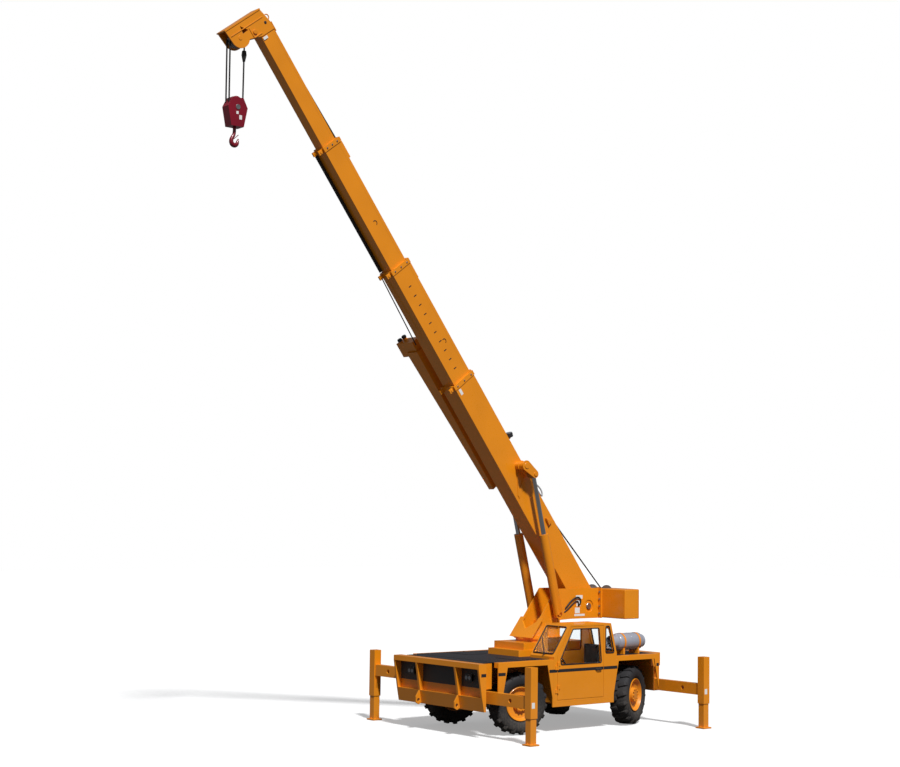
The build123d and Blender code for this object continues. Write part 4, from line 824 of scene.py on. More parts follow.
# %% Each wheel is a copy set on its own axle
for corner in CORNERS:
    joint = joint_at[corner + "_spin"]
    centre = Vector(joint["pos_m"])
    outward = Vector(joint["axis"])
    if outward.y * centre.y < 0:
        outward = -outward
    hub = Matrix.Translation(centre) @ outward.to_track_quat("Z", "Y").to_matrix().to_4x4()
    for pattern, part, material in ((tyre, "tyre", tyre_rubber), (rim, "rim", paint)):
        node = corner + "_" + part
        fit(copy_of(pattern, hub), node + "_finished", corner + "_wheel", material, (node,))
bpy.data.objects.remove(tyre)
bpy.data.objects.remove(rim)
print("wheels:", len(CORNERS))

# %% [markdown]
# ## Window panes
# The cab is glazed all round. The CAD cab has its front, right and door panes, and the rear
# pane and the small quarter pane behind the door are added here. A single face would do for
# clear glass, but a real sheet has a thickness that shows at its edge, so each pane is a
# thin plate in the outline of its opening.

# %% Panes of the quarter and rear windows
OUTER_Y = 1.245  # the outer face of the body's left side
CAB_MIDDLE_Y = 0.917
PANE_T = 0.005
PANE_SET_IN = 0.012
TURN_TO_FRONT = Matrix.Rotation(pi / 2, 4, "Z") @ STAND  # a flat outline stood up across


def rectangle(half_x, half_y):
    """The corners of a rectangle round the origin."""
    return ((-half_x, -half_y), (half_x, -half_y), (half_x, half_y), (-half_x, half_y))


def upright_at(y):
    """A frame whose flat X and Y are the machine's x and z at this y."""
    return CHASSIS @ Matrix.Translation((0, y, 0)) @ STAND


QUARTER = ((-0.800, 1.420), (-0.660, 1.925), (-0.570, 1.925), (-0.570, 1.420))
quarter_pane = settle(plate(QUARTER, PANE_T), upright_at(OUTER_Y - PANE_SET_IN))
fit(quarter_pane, "quarter_pane", "chassis", glass)

REAR_MIDDLE = (-0.790, CAB_MIDDLE_Y, 1.66)
REAR_LEAN = atan2(0.160, 0.580)
REAR_LOOP = rectangle(0.267, 0.22)
REAR_FRAME = chassis_at(*REAR_MIDDLE) @ Matrix.Rotation(REAR_LEAN, 4, "Y") @ TURN_TO_FRONT
fit(settle(plate(REAR_LOOP, PANE_T), REAR_FRAME), "rear_pane", "chassis", glass)
print("panes set")

# %% [markdown]
# ## Window rubbers
# A black rubber strip holds each pane in its opening. Its round lip is what shows, so it is
# a closed pipe along the opening's edge, with its corners turned into arcs. The opening's
# outline is a handful of points, and one helper makes every rubber from them.

# %% Rubbers round the windows
RUBBER_R = 0.011
RUBBER_CORNER = 0.03
REAR_RUBBER_OUT = 0.02
DOOR_PANE = ((-0.460, 1.250), (-0.390, 1.895), (0.290, 1.895), (0.600, 1.350), (0.590, 1.250))
RIGHT_PANE = ((-0.54, 1.44), (0.36, 1.44), (0.36, 1.88), (-0.54, 1.88))
CAB_RIGHT_Y = 0.590
SCREEN_MIDDLE = (0.5735, 0.9175, 1.6955)
SCREEN_LEAN = atan2(0.410, 0.580)
SCREEN_LOOP = rectangle(0.2725, 0.295)
SCREEN_FRAME = chassis_at(*SCREEN_MIDDLE) @ Matrix.Rotation(-SCREEN_LEAN, 4, "Y") @ TURN_TO_FRONT


def window_rubber(name, points, body, where):
    """A closed strip along flat outline points, with rounded corners, set in place."""
    loop = [(x, y, 0) for x, y in round_corners(points, RUBBER_CORNER)]
    strip = pipe(loop, RUBBER_R, closed=True, order=2, sides=2)
    return fit(settle(strip, where), name, body, rubber_seal)


rear_outside = REAR_FRAME @ Matrix.Translation((0, 0, -REAR_RUBBER_OUT))
window_rubber("quarter_rubber", QUARTER, "chassis", upright_at(OUTER_Y))
window_rubber("door_window_rubber", DOOR_PANE, "cab_door", upright_at(OUTER_Y))
window_rubber("rear_window_rubber", REAR_LOOP, "chassis", rear_outside)
window_rubber("right_window_rubber", RIGHT_PANE, "chassis", upright_at(CAB_RIGHT_Y))
window_rubber("windscreen_rubber", SCREEN_LOOP, "chassis", SCREEN_FRAME)
print("rubbers set")

# %% [markdown]
# ## Door handle
# The handle is a bent bar on a lock plate near the door's rear edge. A chain of blocks
# would have hard corners, so the bar is a curve through six points, given a round section,
# and the plate is a rounded block joined to it.

# %% Door handle
HANDLE_LINE = (
    (0.0, 0, 0),
    (0.0, 0.03, 0),
    (0.015, 0.04, 0),
    (0.115, 0.04, 0),
    (0.13, 0.03, 0),
    (0.13, 0, 0),
)
grip = pipe(HANDLE_LINE, 0.008)
lock = block((0.16, 0.012, 0.05), 0.004, Matrix.Translation((0.065, 0.004, 0)))
handle = settle(joined(grip, lock), chassis_at(-0.44, OUTER_Y, 1.13))
fit(handle, "door_handle", "cab_door", plastic)
print("handle faces:", len(handle.data.polygons))

# %% [markdown]
# ## Wiper
# A wiper is a thin blade under a sprung arm that turns on a round boss. The arm is a pipe
# that lifts off the glass, the blade a rounded bar and the boss a disc. They are made flat
# and laid on the leaning windscreen together, which keeps them parallel to it.

# %% Wiper
WIPER_FOOT = (0.05, -0.31, 0.008)
WIPER_SWING = radians(38)
blade = block((0.012, 0.42, 0.014), 0.003, Matrix.Translation((0, 0.21, 0.012)))
arm = pipe([(0, 0, 0.012), (0.02, 0.12, 0.03), (0, 0.26, 0.022)], 0.006)
boss = disc(0.022, 0.022)
on_screen = SCREEN_FRAME @ Matrix.Translation(WIPER_FOOT) @ Matrix.Rotation(WIPER_SWING, 4, "Z")
wiper = settle(joined(blade, arm, boss), on_screen)
fit(wiper, "wiper", "chassis", plastic)
print("wiper faces:", len(wiper.data.polygons))

# %% [markdown]
# ## Seat
# The driver's seat has a thick cushion and a back of foam under a sewn cover. Foam bulges
# between its seams. Cloth could be draped over a block and settled by a simulation, but a
# tight cover shows no folds, so each pad is a subdivided block whose middle is raised in
# channels and whose sides pull in. It stands on a plain base.

# %% A crowned pad
PAD_CUTS = 6
PAD_ROUND = 0.3  # share of the thickness that the bevel takes
SIDE_PULL = 0.035
CHANNELS = 1.5


def pad(size, crown):
    """A crowned cushion: a rounded block that swells in its middle."""
    bpy.ops.object.select_all(action="DESELECT")
    bpy.ops.mesh.primitive_cube_add(size=1)
    piece = bpy.context.object
    piece.scale = size
    settle(piece)
    open_all(piece)
    bpy.ops.mesh.bevel(offset=min(size) * PAD_ROUND, segments=3, affect="EDGES")
    bpy.ops.mesh.subdivide(number_cuts=PAD_CUTS)
    close(piece)
    half = Vector(size) / 2
    for vertex in piece.data.vertices:
        spot = vertex.co
        lengthways = cos(spot.x / half.x * pi / 2)
        swell = lengthways * cos(spot.y / half.y * pi / 2)
        channel = abs(sin(spot.x / half.x * pi * CHANNELS))
        if spot.z > 0:
            spot.z += crown * swell * (0.6 + 0.4 * channel)
        spot.y *= 1 - SIDE_PULL * lengthways
    return smooth(piece, 60)


# %% Cushion, back and base of the seat
SEAT_X = -0.33
cushion = settle(pad((0.46, 0.44, 0.10), 0.022), chassis_at(SEAT_X, CAB_MIDDLE_Y, 1.008))
leaned_back = chassis_at(-0.545, CAB_MIDDLE_Y, 1.30, FACE_REAR) @ turned_over
back = settle(pad((0.54, 0.42, 0.09), 0.020), leaned_back)
fit(cushion, "seat_cushion", "chassis", seat_cloth, ("seat",))
fit(back, "seat_back", "chassis", seat_cloth)

leg = block((0.30, 0.32, 0.35), 0.012, chassis_at(SEAT_X, CAB_MIDDLE_Y, 0.778))
shell = block((0.020, 0.40, 0.50), 0.006, chassis_at(-0.600, CAB_MIDDLE_Y, 1.29))
fit(joined(leg, shell), "seat_base", "chassis", plastic)
print("cushion faces:", len(cushion.data.polygons))

# %% [markdown]
# ## Steering wheel and console
# A thin steering wheel leans towards the seat on a column that rises from a boxed desk. The
# wheel's rim is a torus, which a pipe along a circle would only match with many points. The
# spokes, column and desk are a bar, discs and blocks, joined to it as one fixed piece.

# %% Steering wheel and console
WHEEL_LEAN = radians(-50)
COLUMN_LEAN = radians(-230)
DESK_X = 0.62
bpy.ops.object.select_all(action="DESELECT")
bpy.ops.mesh.primitive_torus_add(
    major_radius=0.172, minor_radius=0.013, major_segments=40, minor_segments=10
)
wheel_ring = bpy.context.object
spokes = block((0.03, 0.33, 0.012), 0.004, Matrix.Translation((0, 0, -0.01)))
steering_wheel = joined(wheel_ring, spokes, disc(0.035, 0.02))
settle(steering_wheel, chassis_at(0.365, CAB_MIDDLE_Y, 1.29, (0, WHEEL_LEAN, 0)))
column = settle(disc(0.020, 0.30), chassis_at(0.375, CAB_MIDDLE_Y, 1.28, (0, COLUMN_LEAN, 0)))
desk = block((0.18, 0.52, 0.24), 0.014, chassis_at(DESK_X, CAB_MIDDLE_Y, 1.0))
stand = block((0.06, 0.30, 0.28), 0.004, chassis_at(DESK_X, CAB_MIDDLE_Y, 0.74))
console_piece = smooth(joined(steering_wheel, column, desk, stand))
fit(console_piece, "console_finished", "chassis", plastic, ("console",))
print("console faces:", len(console_piece.data.polygons))

# %% [markdown]
# ## Stripe
# A black line runs along the machine's sides and round its bumper. It could be a second
# material on the body's faces, but their edges don't run where the line does. It is a strip
# of film, so it is a very thin plate just proud of the steel. The part that crosses the
# door is a piece of its own and swings with the door.

# %% Films
FILM = 0.0012
FILM_EDGE = 0.0004
FILM_OUT = 0.0005


def film(name, size, where, body, material):
    """A thin painted or stuck film of this width and height on a flat face."""
    return fit(block((*size, FILM), FILM_EDGE, where), name, body, material)


# %% The stripe along the sides
STRIPE_LOW = 1.112
STRIPE_TOP = 1.170
STRIPES = (
    # name, from x, to x, hand, body
    ("stripe_left_cab_front", 0.686, 0.884, 1, "chassis"),
    ("stripe_left_door", -0.512, 0.672, 1, "cab_door"),
    ("stripe_left_cab_rear", -0.884, -0.522, 1, "chassis"),
    ("stripe_left_nose", 1.960, 2.134, 1, "chassis"),
    ("stripe_left_tail", -2.030, -1.960, 1, "chassis"),
    ("stripe_right_middle", -0.884, 0.884, -1, "chassis"),
    ("stripe_right_nose", 1.960, 2.134, -1, "chassis"),
    ("stripe_right_tail", -2.030, -1.960, -1, "chassis"),
    ("stripe_left_bumper", 2.425, 2.540, 1, "chassis"),
    ("stripe_right_bumper", 2.425, 2.540, -1, "chassis"),
)
stripe_middle_z = (STRIPE_LOW + STRIPE_TOP) / 2
for stripe_name, rear_x, front_x, hand, body in STRIPES:
    size = (front_x - rear_x, STRIPE_TOP - STRIPE_LOW)
    side_y = hand * (OUTER_Y + FILM_OUT)
    where = chassis_at((rear_x + front_x) / 2, side_y, stripe_middle_z, FACE_RIGHT)
    film(stripe_name, size, where, body, stripe_black)
print("stripes:", len(STRIPES))

# %% [markdown]
# ## Headlamps and tail lamps
# Each headlamp is a square black case with a frame in front and two round lenses, one
# beside the other. At the back a red lamp sits above an amber one on each side. The lamps
# throw no light by day, so they are bodies only: the frame is a rounded block, and each
# lens is a disc with a chamfered rim, in a clear or coloured gloss.

# %% Lens finishes
lens_red = finish("lens_red", (0.45, 0.01, 0.01), 0.2, coat=0.6, ripple_scale=160.0)
lens_clear = finish("lens_clear", (0.22, 0.23, 0.25), 0.08, coat=1.0, dust=0.02)
lens_amber = finish("lens_amber", (0.75, 0.22, 0.01), 0.2, coat=0.6, ripple_scale=160.0)
print("lens finishes: 3")

# %% Frames, lenses and tail lamps
HEADLAMP_Y = 0.835
HEADLAMP_Z = 1.075
BEZEL_X = 2.498
LENS_X = 2.504
LENS_STEP = 0.044
TAIL_LAMP_X = -2.2905
TAIL_LAMP_Y = HEADLAMP_Y * 1.11
TAIL_LAMPS = (
    # name, height, finish
    ("stop", 1.285, lens_red),
    ("turn", 1.160, lens_amber),
)
for side, hand, _ in SIDES:
    y = hand * HEADLAMP_Y
    bezel = block((0.012, 0.196, 0.134), 0.005, chassis_at(BEZEL_X, y, HEADLAMP_Z))
    fit(bezel, side + "_headlamp_bezel", "chassis", plastic)
    for step, part in ((-LENS_STEP, "inner"), (LENS_STEP, "outer")):
        lens_at = chassis_at(LENS_X, y + step, HEADLAMP_Z, FACE_FRONT)
        lens = settle(disc(0.036, 0.010, 0.004), lens_at)
        fit(lens, side + "_headlamp_" + part + "_lens", "chassis", lens_clear)
    for part, z, material in TAIL_LAMPS:
        lamp_at = chassis_at(TAIL_LAMP_X, hand * TAIL_LAMP_Y, z, FACE_REAR)
        fit(settle(disc(0.045, 0.022, 0.006), lamp_at), side + "_" + part + "_lamp", "chassis",
            material)
print("lamps set")

# %% [markdown]
# ## Deck lids
# The deck is walked on, so it wears grip paint, and lids let a fitter reach the tanks and
# valves under it. A groove cut into the deck would be the other way to show a lid. A thin
# rounded plate laid on top leaves the CAD deck whole and shows the same shadow line.

# %% Lids on the deck
LID_MIDDLE_Z = 1.3565
LID_T = 0.008
LIDS = (
    # name, x, y, length, width
    ("left_deck_lid", 1.25, 0.72, 0.46, 0.62),
    ("right_deck_lid", 1.25, -0.72, 0.46, 0.62),
    ("rear_deck_lid", -1.50, -0.45, 0.70, 0.80),
)
for lid_name, x, y, length, width in LIDS:
    lid = block((length, width, LID_T), 0.003, chassis_at(x, y, LID_MIDDLE_Z))
    fit(lid, lid_name, "chassis", deck_paint)
print("lids:", len(LIDS))

# %% [markdown]
# ## Slew ring bolts
# The turret turns on a ring bearing that is bolted to the pedestal below and to the
# turret's floor above. One six-sided head is modelled and copied round the axis. The lower
# ring stays with the chassis and the upper one turns with the turret.

# %% Bolts of the slew ring
SLEW_X = 0.04


def bolt_ring(name, count, radius, z, body, size, material):
    """A ring of six-sided bolt heads round the slew axis."""
    heads = ring_of(six_sided(size, size), count, radius, chassis_at(SLEW_X, 0, z))
    return fit(smooth(joined(*heads), 30), name, body, material)


bolt_ring("slew_ring_bolts", 28, 0.405, 1.655, "chassis", 0.014, steel)
bolt_ring("turret_floor_bolts", 22, 0.425, 1.688, "turret", 0.012, paint)
print("bolt rings set")

# %% [markdown]
# ## Gas tank
# The tank is a welded steel cylinder with domed ends, a foot ring, a weld seam round its
# middle and an open collar round its valve. All of them are round about one axis, so each
# is a short outline spun once. A sphere cut in two would need more faces for the domes than
# the arc of seven points here.

# %% Tank, foot, collar and seam
TANK_R = 0.165
DOME_FROM = 0.27
DOME_RISE = 0.09
RING_IN, RING_OUT = 0.121, 0.125
SEAM_R, SEAM_TOP_R = 0.160, 0.1675
TANK_AXIS = chassis_at(-1.49, 0.9, 1.587, FACE_FRONT)


def hoop(inner, outer, low, high):
    """A plain round band between two radii and two heights."""
    return turned(((inner, low), (outer, low), (outer, high), (inner, high)))


DOME = tuple(
    (
        TANK_R * cos(radians(step)) if step < 90 else AXIS_GAP,
        DOME_FROM + DOME_RISE * sin(radians(step)),
    )
    for step in range(90, -1, -15)
)
vessel = turned(mirrored(DOME))
foot = hoop(RING_IN, RING_OUT, -0.388, -0.300)
collar = hoop(0.117, RING_OUT, 0.290, 0.458)
weld = turned(((SEAM_R, -0.006), (SEAM_TOP_R, -0.004), (SEAM_TOP_R, 0.004), (SEAM_R, 0.006)))
tank = settle(smooth(joined(vessel, foot, collar, weld)), TANK_AXIS)
fit(tank, "gas_tank_finished", "chassis", tank_paint, ("gas_tank",))
print("tank faces:", len(tank.data.polygons))

# %% [markdown]
# ### Valve, bands and hose
# A steel valve stands inside the collar, two steel bands strap the tank to its
# saddles, and a hose leads the gas down to the engine. The valve and bands are turned on
# the tank's own axis, so they can't miss it, and the hose is a pipe through seven points
# that droops, as rubber does, before it lies on the deck.

# %% Valve and bands
VALVE_SECTION = (
    (AXIS_GAP, 0.350),
    (0.022, 0.350),
    (0.022, 0.400),
    (0.012, 0.405),
    (0.012, 0.420),
    (0.030, 0.424),
    (0.030, 0.436),
    (AXIS_GAP, 0.438),
)
BAND_HALF = 0.022
BAND_IN, BAND_OUT = 0.1655, 0.1685
fit(settle(turned(VALVE_SECTION, 32), TANK_AXIS), "gas_valve", "chassis", steel)
for band_name, middle in (("front_tank_band", 0.20), ("rear_tank_band", -0.20)):
    band = hoop(BAND_IN, BAND_OUT, middle - BAND_HALF, middle + BAND_HALF)
    fit(settle(band, TANK_AXIS), band_name, "chassis", steel)
print("valve and bands set")

# %% Gas hose
GAS_HOSE_LINE = (
    (-1.075, 0.90, 1.60),
    (-1.00, 0.90, 1.62),
    (-0.97, 0.86, 1.50),
    (-0.98, 0.80, 1.40),
    (-1.00, 0.70, 1.358),
    (-1.12, 0.45, 1.356),
    (-1.20, 0.30, 1.356),
)
gas_hose = settle(pipe(GAS_HOSE_LINE, 0.009), CHASSIS)
fit(gas_hose, "gas_hose", "chassis", rubber_seal)
print("hose faces:", len(gas_hose.data.polygons))

# %% [markdown]
# ## Outrigger feet
# A foot plate is welded to its post, and four small gusset ribs keep it from bending. One
# rib is a three-cornered plate, stood up and copied at each quarter turn. The ribs move
# with the jack. Each post also wears a small blank sticker, which moves with the beam.

# %% Ribs and stickers on the outriggers
POST_Y = 2.266
POST_FACE_Y = 2.3465
FRONT_POST_X = 2.262
REAR_POST_X = -2.188
RIB = ((0.072, 0.012), (0.100, 0.012), (0.072, 0.060))
RIB_T = 0.008
rib_upright = Matrix.Translation((0, RIB_T / 2, 0)) @ STAND
for end, x in (("front_", FRONT_POST_X), ("rear_", REAR_POST_X)):
    for side, hand, turn in SIDES:
        quarters = [Matrix.Rotation(quarter * pi / 2, 4, "Z") for quarter in range(4)]
        ribs = [settle(plate(RIB, RIB_T), quarter @ rib_upright) for quarter in quarters]
        foot_ribs = settle(joined(*ribs), chassis_at(x, hand * POST_Y, 0.0))
        fit(foot_ribs, end + side + "_foot_ribs", end + side + "_jack", paint)
        label_at = chassis_at(x + 0.02, hand * POST_FACE_Y, 0.70, turn)
        film(end + side + "_post_label", (0.07, 0.10), label_at, end + side + "_beam", label_white)
print("outrigger pieces set")

# %% [markdown]
# ## Post pockets
# Behind the bumper the retracted posts stand in pockets, one on each side. The inner wall
# of a pocket closes the frame towards it, so it is a plate below the deck's edge. On the
# right it stops above the beam, which comes out higher there. A hole through the solid
# body would be the other way, but the walls are all that is seen of it.

# %% Inner walls of the front pockets
POCKET_Y = 1.060
POCKET_REAR_X, POCKET_FRONT_X = 2.136, 2.338
POCKET_TOP_Z = 1.342
POCKET_LOW_Z = {"left": 0.87, "right": 1.10}
WALL_T = 0.008
for side, hand, _ in SIDES:
    low_z = POCKET_LOW_Z[side]
    size = (POCKET_FRONT_X - POCKET_REAR_X, WALL_T, POCKET_TOP_Z - low_z)
    middle_x = (POCKET_REAR_X + POCKET_FRONT_X) / 2
    wall_at = chassis_at(middle_x, hand * POCKET_Y, (POCKET_TOP_Z + low_z) / 2)
    fit(block(size, 0.002, wall_at), side + "_pocket_wall", "chassis", paint)
print("pocket walls set")

# %% [markdown]
# ## Tow hitch
# A tow hitch is bolted behind the machine: two jaws on a base plate, with a pin through
# them. It is three rounded blocks and a disc, joined as one forged and welded part.

# %% Tow hitch
HITCH_X = -2.292
JAW_SIZE = (0.10, 0.16, 0.03)
JAW_STEP = 0.045
JAW_EDGE = 0.005
upper_jaw = block(JAW_SIZE, JAW_EDGE, Matrix.Translation((-0.05, 0, JAW_STEP)))
lower_jaw = block(JAW_SIZE, JAW_EDGE, Matrix.Translation((-0.05, 0, -JAW_STEP)))
base = block((0.02, 0.22, 0.20), 0.004, Matrix.Translation((0.01, 0, 0)))
pin = settle(disc(0.016, 0.15), Matrix.Translation((-0.065, 0, -0.08)))
hitch = settle(joined(upper_jaw, lower_jaw, base, pin), chassis_at(HITCH_X, 0, 0.80))
fit(hitch, "tow_hitch", "chassis", frame_paint)
print("hitch faces:", len(hitch.data.polygons))

# %% [markdown]
# ## Hoist rope
# The rope leaves the winch behind the boom's foot, climbs to the top of the boom and runs
# along it to the sheaves at the head. Twisted strands would cost many thousands of faces
# for a line this thin, so each stretch is a plain round pipe that follows the piece it lies
# on. A stretch that crosses a joint is left on no body, and it has many points along it.

# %% Helpers: points on the boom and stretches of rope
ROPE_R = 0.014
# section of the boom: half width, underside, top and front end, along and square to the boom
SECTIONS = {
    "boom_base": (0.190, -0.130, 0.410, 5.300),
    "boom_2": (0.162, -0.090, 0.382, 7.800),
    "boom_3": (0.136, -0.058, 0.342, 10.370),
}


def on_boom(along, up, y=0.0):
    """A point given on the boom, in the shared frame."""
    return BOOM @ Vector((along, y, up))


def spread(start, end, steps):
    """Evenly spaced points from start to end."""
    return [start.lerp(end, step / steps) for step in range(steps + 1)]


def rope(name, points, body, radius=ROPE_R, order=2):
    """A taut stretch of wire rope. One that crosses a joint is given no body here."""
    return fit(pipe(points, radius, order=order, sides=3), name, body, wire)


# %% Rope from the winch over the boom
WINCH_TOP = (-1.735, 0, 2.50)
COLLAR_BACK = 0.06
COLLAR_CLEAR = 0.040
winch_point = CHASSIS @ Vector(WINCH_TOP)
guide_point = on_boom(2.29, 0.44)
head_point = on_boom(12.60, 0.31)
collar_points = {
    section: on_boom(front - COLLAR_BACK, top + COLLAR_CLEAR)
    for section, (_, _, top, front) in SECTIONS.items()
}
ROPE_RUNS = (
    # name, body behind, body ahead, start, end, steps
    ("rope_winch_to_guide", "turret", "boom_base", winch_point, guide_point, 24),
    ("rope_over_boom_2", "boom_base", "boom_2",
     collar_points["boom_base"], collar_points["boom_2"], 12),
    ("rope_over_boom_3", "boom_2", "boom_3",
     collar_points["boom_2"], collar_points["boom_3"], 12),
    ("rope_over_boom_4", "boom_3", "boom_4", collar_points["boom_3"], head_point, 12),
)
for run_name, behind, ahead, start, end, steps in ROPE_RUNS:
    stretch = rope(run_name, spread(start, end, steps), None)
    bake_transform(stretch)
rope("rope_over_boom_base", spread(guide_point, collar_points["boom_base"], 12), "boom_base")

HEAD_RUN = ((12.60, 0.31), (12.86, 0.26), (12.925, 0.05), (12.915, -0.30), (12.90, -0.45))
rope("rope_in_head", [on_boom(*spot) for spot in HEAD_RUN], "boom_4", order=3)
print("stretches of rope:", len(ROPE_RUNS) + 2)

# %% [markdown]
# ## Head sheaves
# The head sheaves are grooved wheels of cast steel, three side by side on one axle. The
# groove, the thin web and the thick hub are all in one section, so a sheave is spun in one
# go. A cylinder with its rim inset would give the groove but not the web.

# %% Head sheaves
SHEAVES_Y = (-0.05, 0.0, 0.05)
SHEAVE_WIDTH = 0.036
SHEAVE_R = 0.15
AXLE_R = 0.018
AXLE_LENGTH = 0.136


def sheave(width, radius, bore):
    """A grooved rope wheel round the Z axis, its middle at z = 0."""
    hub, web = bore * 2.4, bore * 2.6
    rim, lip, groove = radius * 0.78, radius * 0.82, radius * 0.90
    return turned(
        (
            (bore, -width / 2),
            (hub, -width / 2),
            (web, -width / 5),
            (rim, -width / 5),
            (lip, -width / 2),
            (radius, -width / 2),
            (groove, 0),
            (radius, width / 2),
            (lip, width / 2),
            (rim, width / 5),
            (web, width / 5),
            (hub, width / 2),
            (bore, width / 2),
        ),
        48,
    )


def across_head(y):
    """A frame on the head's axle whose Z axis runs across the machine."""
    return Matrix.Translation(HEAD) @ Matrix.Translation((0, y, 0)) @ STAND


wheels = [settle(sheave(SHEAVE_WIDTH, SHEAVE_R, AXLE_R), across_head(y)) for y in SHEAVES_Y]
axle = settle(disc(AXLE_R, AXLE_LENGTH), across_head(AXLE_LENGTH / 2))
head_wheels = smooth(joined(*wheels, axle))
fit(head_wheels, "head_sheaves_finished", "boom_4", steel, ("head_sheaves",))
print("sheave faces:", len(head_wheels.data.polygons))

# %% [markdown]
# ## Hook block
# The block is two thick side plates round a sheave, held by a through pin. Its plates are
# the CAD solid. The trim is two blank stickers and the pin's end on each side, and the
# rounded rim of the sheave that shows above the plates, which is a thick disc.

# %% Stickers, pin ends and sheave of the hook block
BLOCK_TOP_Z = HEAD.z - 1.031
BLOCK_X = HEAD.x - MIDDLE_X
BLOCK_FACE_Y = 0.1005
PIN_MIDDLE_Y = 0.104
PIN_T = 0.012
PIN_DOWN = 0.165
BLOCK_SHEAVE_WIDTH = 0.15
BLOCK_SHEAVE_DOWN = 0.092
BLOCK_LABELS = (
    # name, offset along the block, offset down from its top, width, height
    ("upper", 0.010, 0.265, 0.045, 0.050),
    ("lower", -0.055, 0.340, 0.055, 0.075),
)
for side, hand, _ in SIDES:
    for row, across, down, width, height in BLOCK_LABELS:
        at = chassis_at(BLOCK_X + across, hand * BLOCK_FACE_Y, BLOCK_TOP_Z - down, FACE_RIGHT)
        film(side + "_" + row + "_block_label", (width, height), at, "hook_block", label_white)
    pin_middle = chassis_at(BLOCK_X, hand * PIN_MIDDLE_Y, BLOCK_TOP_Z - PIN_DOWN, FACE_RIGHT)
    pin = settle(disc(0.045, PIN_T), pin_middle @ Matrix.Translation((0, 0, -PIN_T / 2)))
    fit(pin, side + "_block_pin", "hook_block", steel)

sheave_at = chassis_at(
    BLOCK_X, -BLOCK_SHEAVE_WIDTH / 2, BLOCK_TOP_Z - BLOCK_SHEAVE_DOWN, FACE_LEFT
)
block_sheave = settle(disc(0.125, BLOCK_SHEAVE_WIDTH, 0.02, steps=48), sheave_at)
fit(block_sheave, "block_sheave", "hook_block", hook_paint)
print("hook block trimmed")

# %% [markdown]
# ## Falls and wedge socket
# Three falls of rope hang between the head and the block, and the last one ends in a cast
# wedge socket. The falls stand for the CAD's plain cylinders and move with the block. They
# lean in a little towards the block's sheave. The socket is a plate in a tapered outline.

# %% Three falls of rope and the wedge socket that ends the last one
FALLS = ((0.159, 0.05), (0.159, -0.05), (-0.159, 0.0))
FALL_LEAN_IN = 0.96
fall_top_z = HEAD.z - 0.02
fall_foot_z = BLOCK_TOP_Z - 0.10
strands = [
    pipe(
        [(HEAD.x + x, y, fall_top_z), (HEAD.x + x * FALL_LEAN_IN, y, fall_foot_z)],
        ROPE_R,
        order=2,
    )
    for x, y in FALLS
]
fit(joined(*strands), "hook_falls_finished", "hook_block", wire, ("hook_falls",))

SOCKET_SIDE = (
    (-0.030, 0.10),
    (0.030, 0.10),
    (0.042, 0.02),
    (0.012, -0.10),
    (-0.012, -0.10),
    (-0.042, 0.02),
)
SOCKET_T = 0.05
socket_stood = Matrix.Translation((0, SOCKET_T / 2, 0)) @ STAND
socket_at = Matrix.Translation((HEAD.x - 0.158, 0, HEAD.z - 0.27)) @ socket_stood
fit(settle(plate(SOCKET_SIDE, SOCKET_T, 0.008), socket_at), "wedge_socket", "hook_block", wire)
print("falls:", len(FALLS))

# %% [markdown]
# ## Hook
# The hook is forged: round at its shank, deep and narrow at its bowl, drawn out to a point,
# with a spring latch across its mouth. An extruded outline would be flat, and a plain pipe
# equally thick all along. A curve can have its own thickness at each point, so it is made
# as one, with a turned swivel nut and a small bar for the latch.

# %% The forged hook and its latch
HOOK_MIDDLE_Z = 10.3133
HOOK_LINE = (
    # x and z from the middle of the bowl, radius
    (0.0, 0.330, 0.030),
    (0.0, 0.250, 0.030),
    (0.0, 0.170, 0.028),
    (0.010, 0.115, 0.030),
    (0.045, 0.070, 0.033),
    (0.066, 0.015, 0.037),
    (0.050, -0.042, 0.041),
    (0.0, -0.066, 0.042),
    (-0.048, -0.045, 0.037),
    (-0.068, 0.000, 0.028),
    (-0.070, 0.035, 0.020),
    (-0.082, 0.062, 0.009),
)
SWIVEL_NUT = (
    (AXIS_GAP, 0.255),
    (0.054, 0.258),
    (0.058, 0.264),
    (0.058, 0.300),
    (0.050, 0.318),
    (AXIS_GAP, 0.320),
)
LATCH_LEAN = radians(-48)
curve = bpy.data.curves.new("hook_line", "CURVE")
curve.dimensions = "3D"
run = curve.splines.new("NURBS")
run.points.add(len(HOOK_LINE) - 1)
for spot, (x, z, thickness) in zip(run.points, HOOK_LINE):
    spot.co = (x, 0, z, 1.0)
    spot.radius = thickness
run.order_u = 4
run.use_endpoint_u = True
run.resolution_u = 8
curve.bevel_depth = 1.0
curve.bevel_resolution = 6
curve.use_fill_caps = True
forged = bpy.data.objects.new("forged", curve)
bpy.context.collection.objects.link(forged)
alone(forged)
bpy.ops.object.convert(target="MESH")
forged = smooth(bpy.context.object, 60)

latch_at = Matrix.Translation((-0.034, 0, 0.090)) @ Matrix.Rotation(LATCH_LEAN, 4, "Y")
latch = block((0.010, 0.022, 0.125), 0.003, latch_at)
hook_whole = smooth(joined(forged, turned(SWIVEL_NUT, 40), latch), 40)
settle(hook_whole, Matrix.Translation((HEAD.x, 0, HOOK_MIDDLE_Z)))
fit(hook_whole, "hook_finished", "hook", hook_paint, ("hook",))
print("hook faces:", len(hook_whole.data.polygons))

# %% [markdown]
# ## Boom lamp and hose
# A work lamp leans forward on a stem on top of the boom's base, beside a looped grey hose
# that feeds it. The lamp's case is a disc with wide chamfers and its lens a thinner disc
# set in front. The hose is a pipe through eight points, one loop of it standing clear.

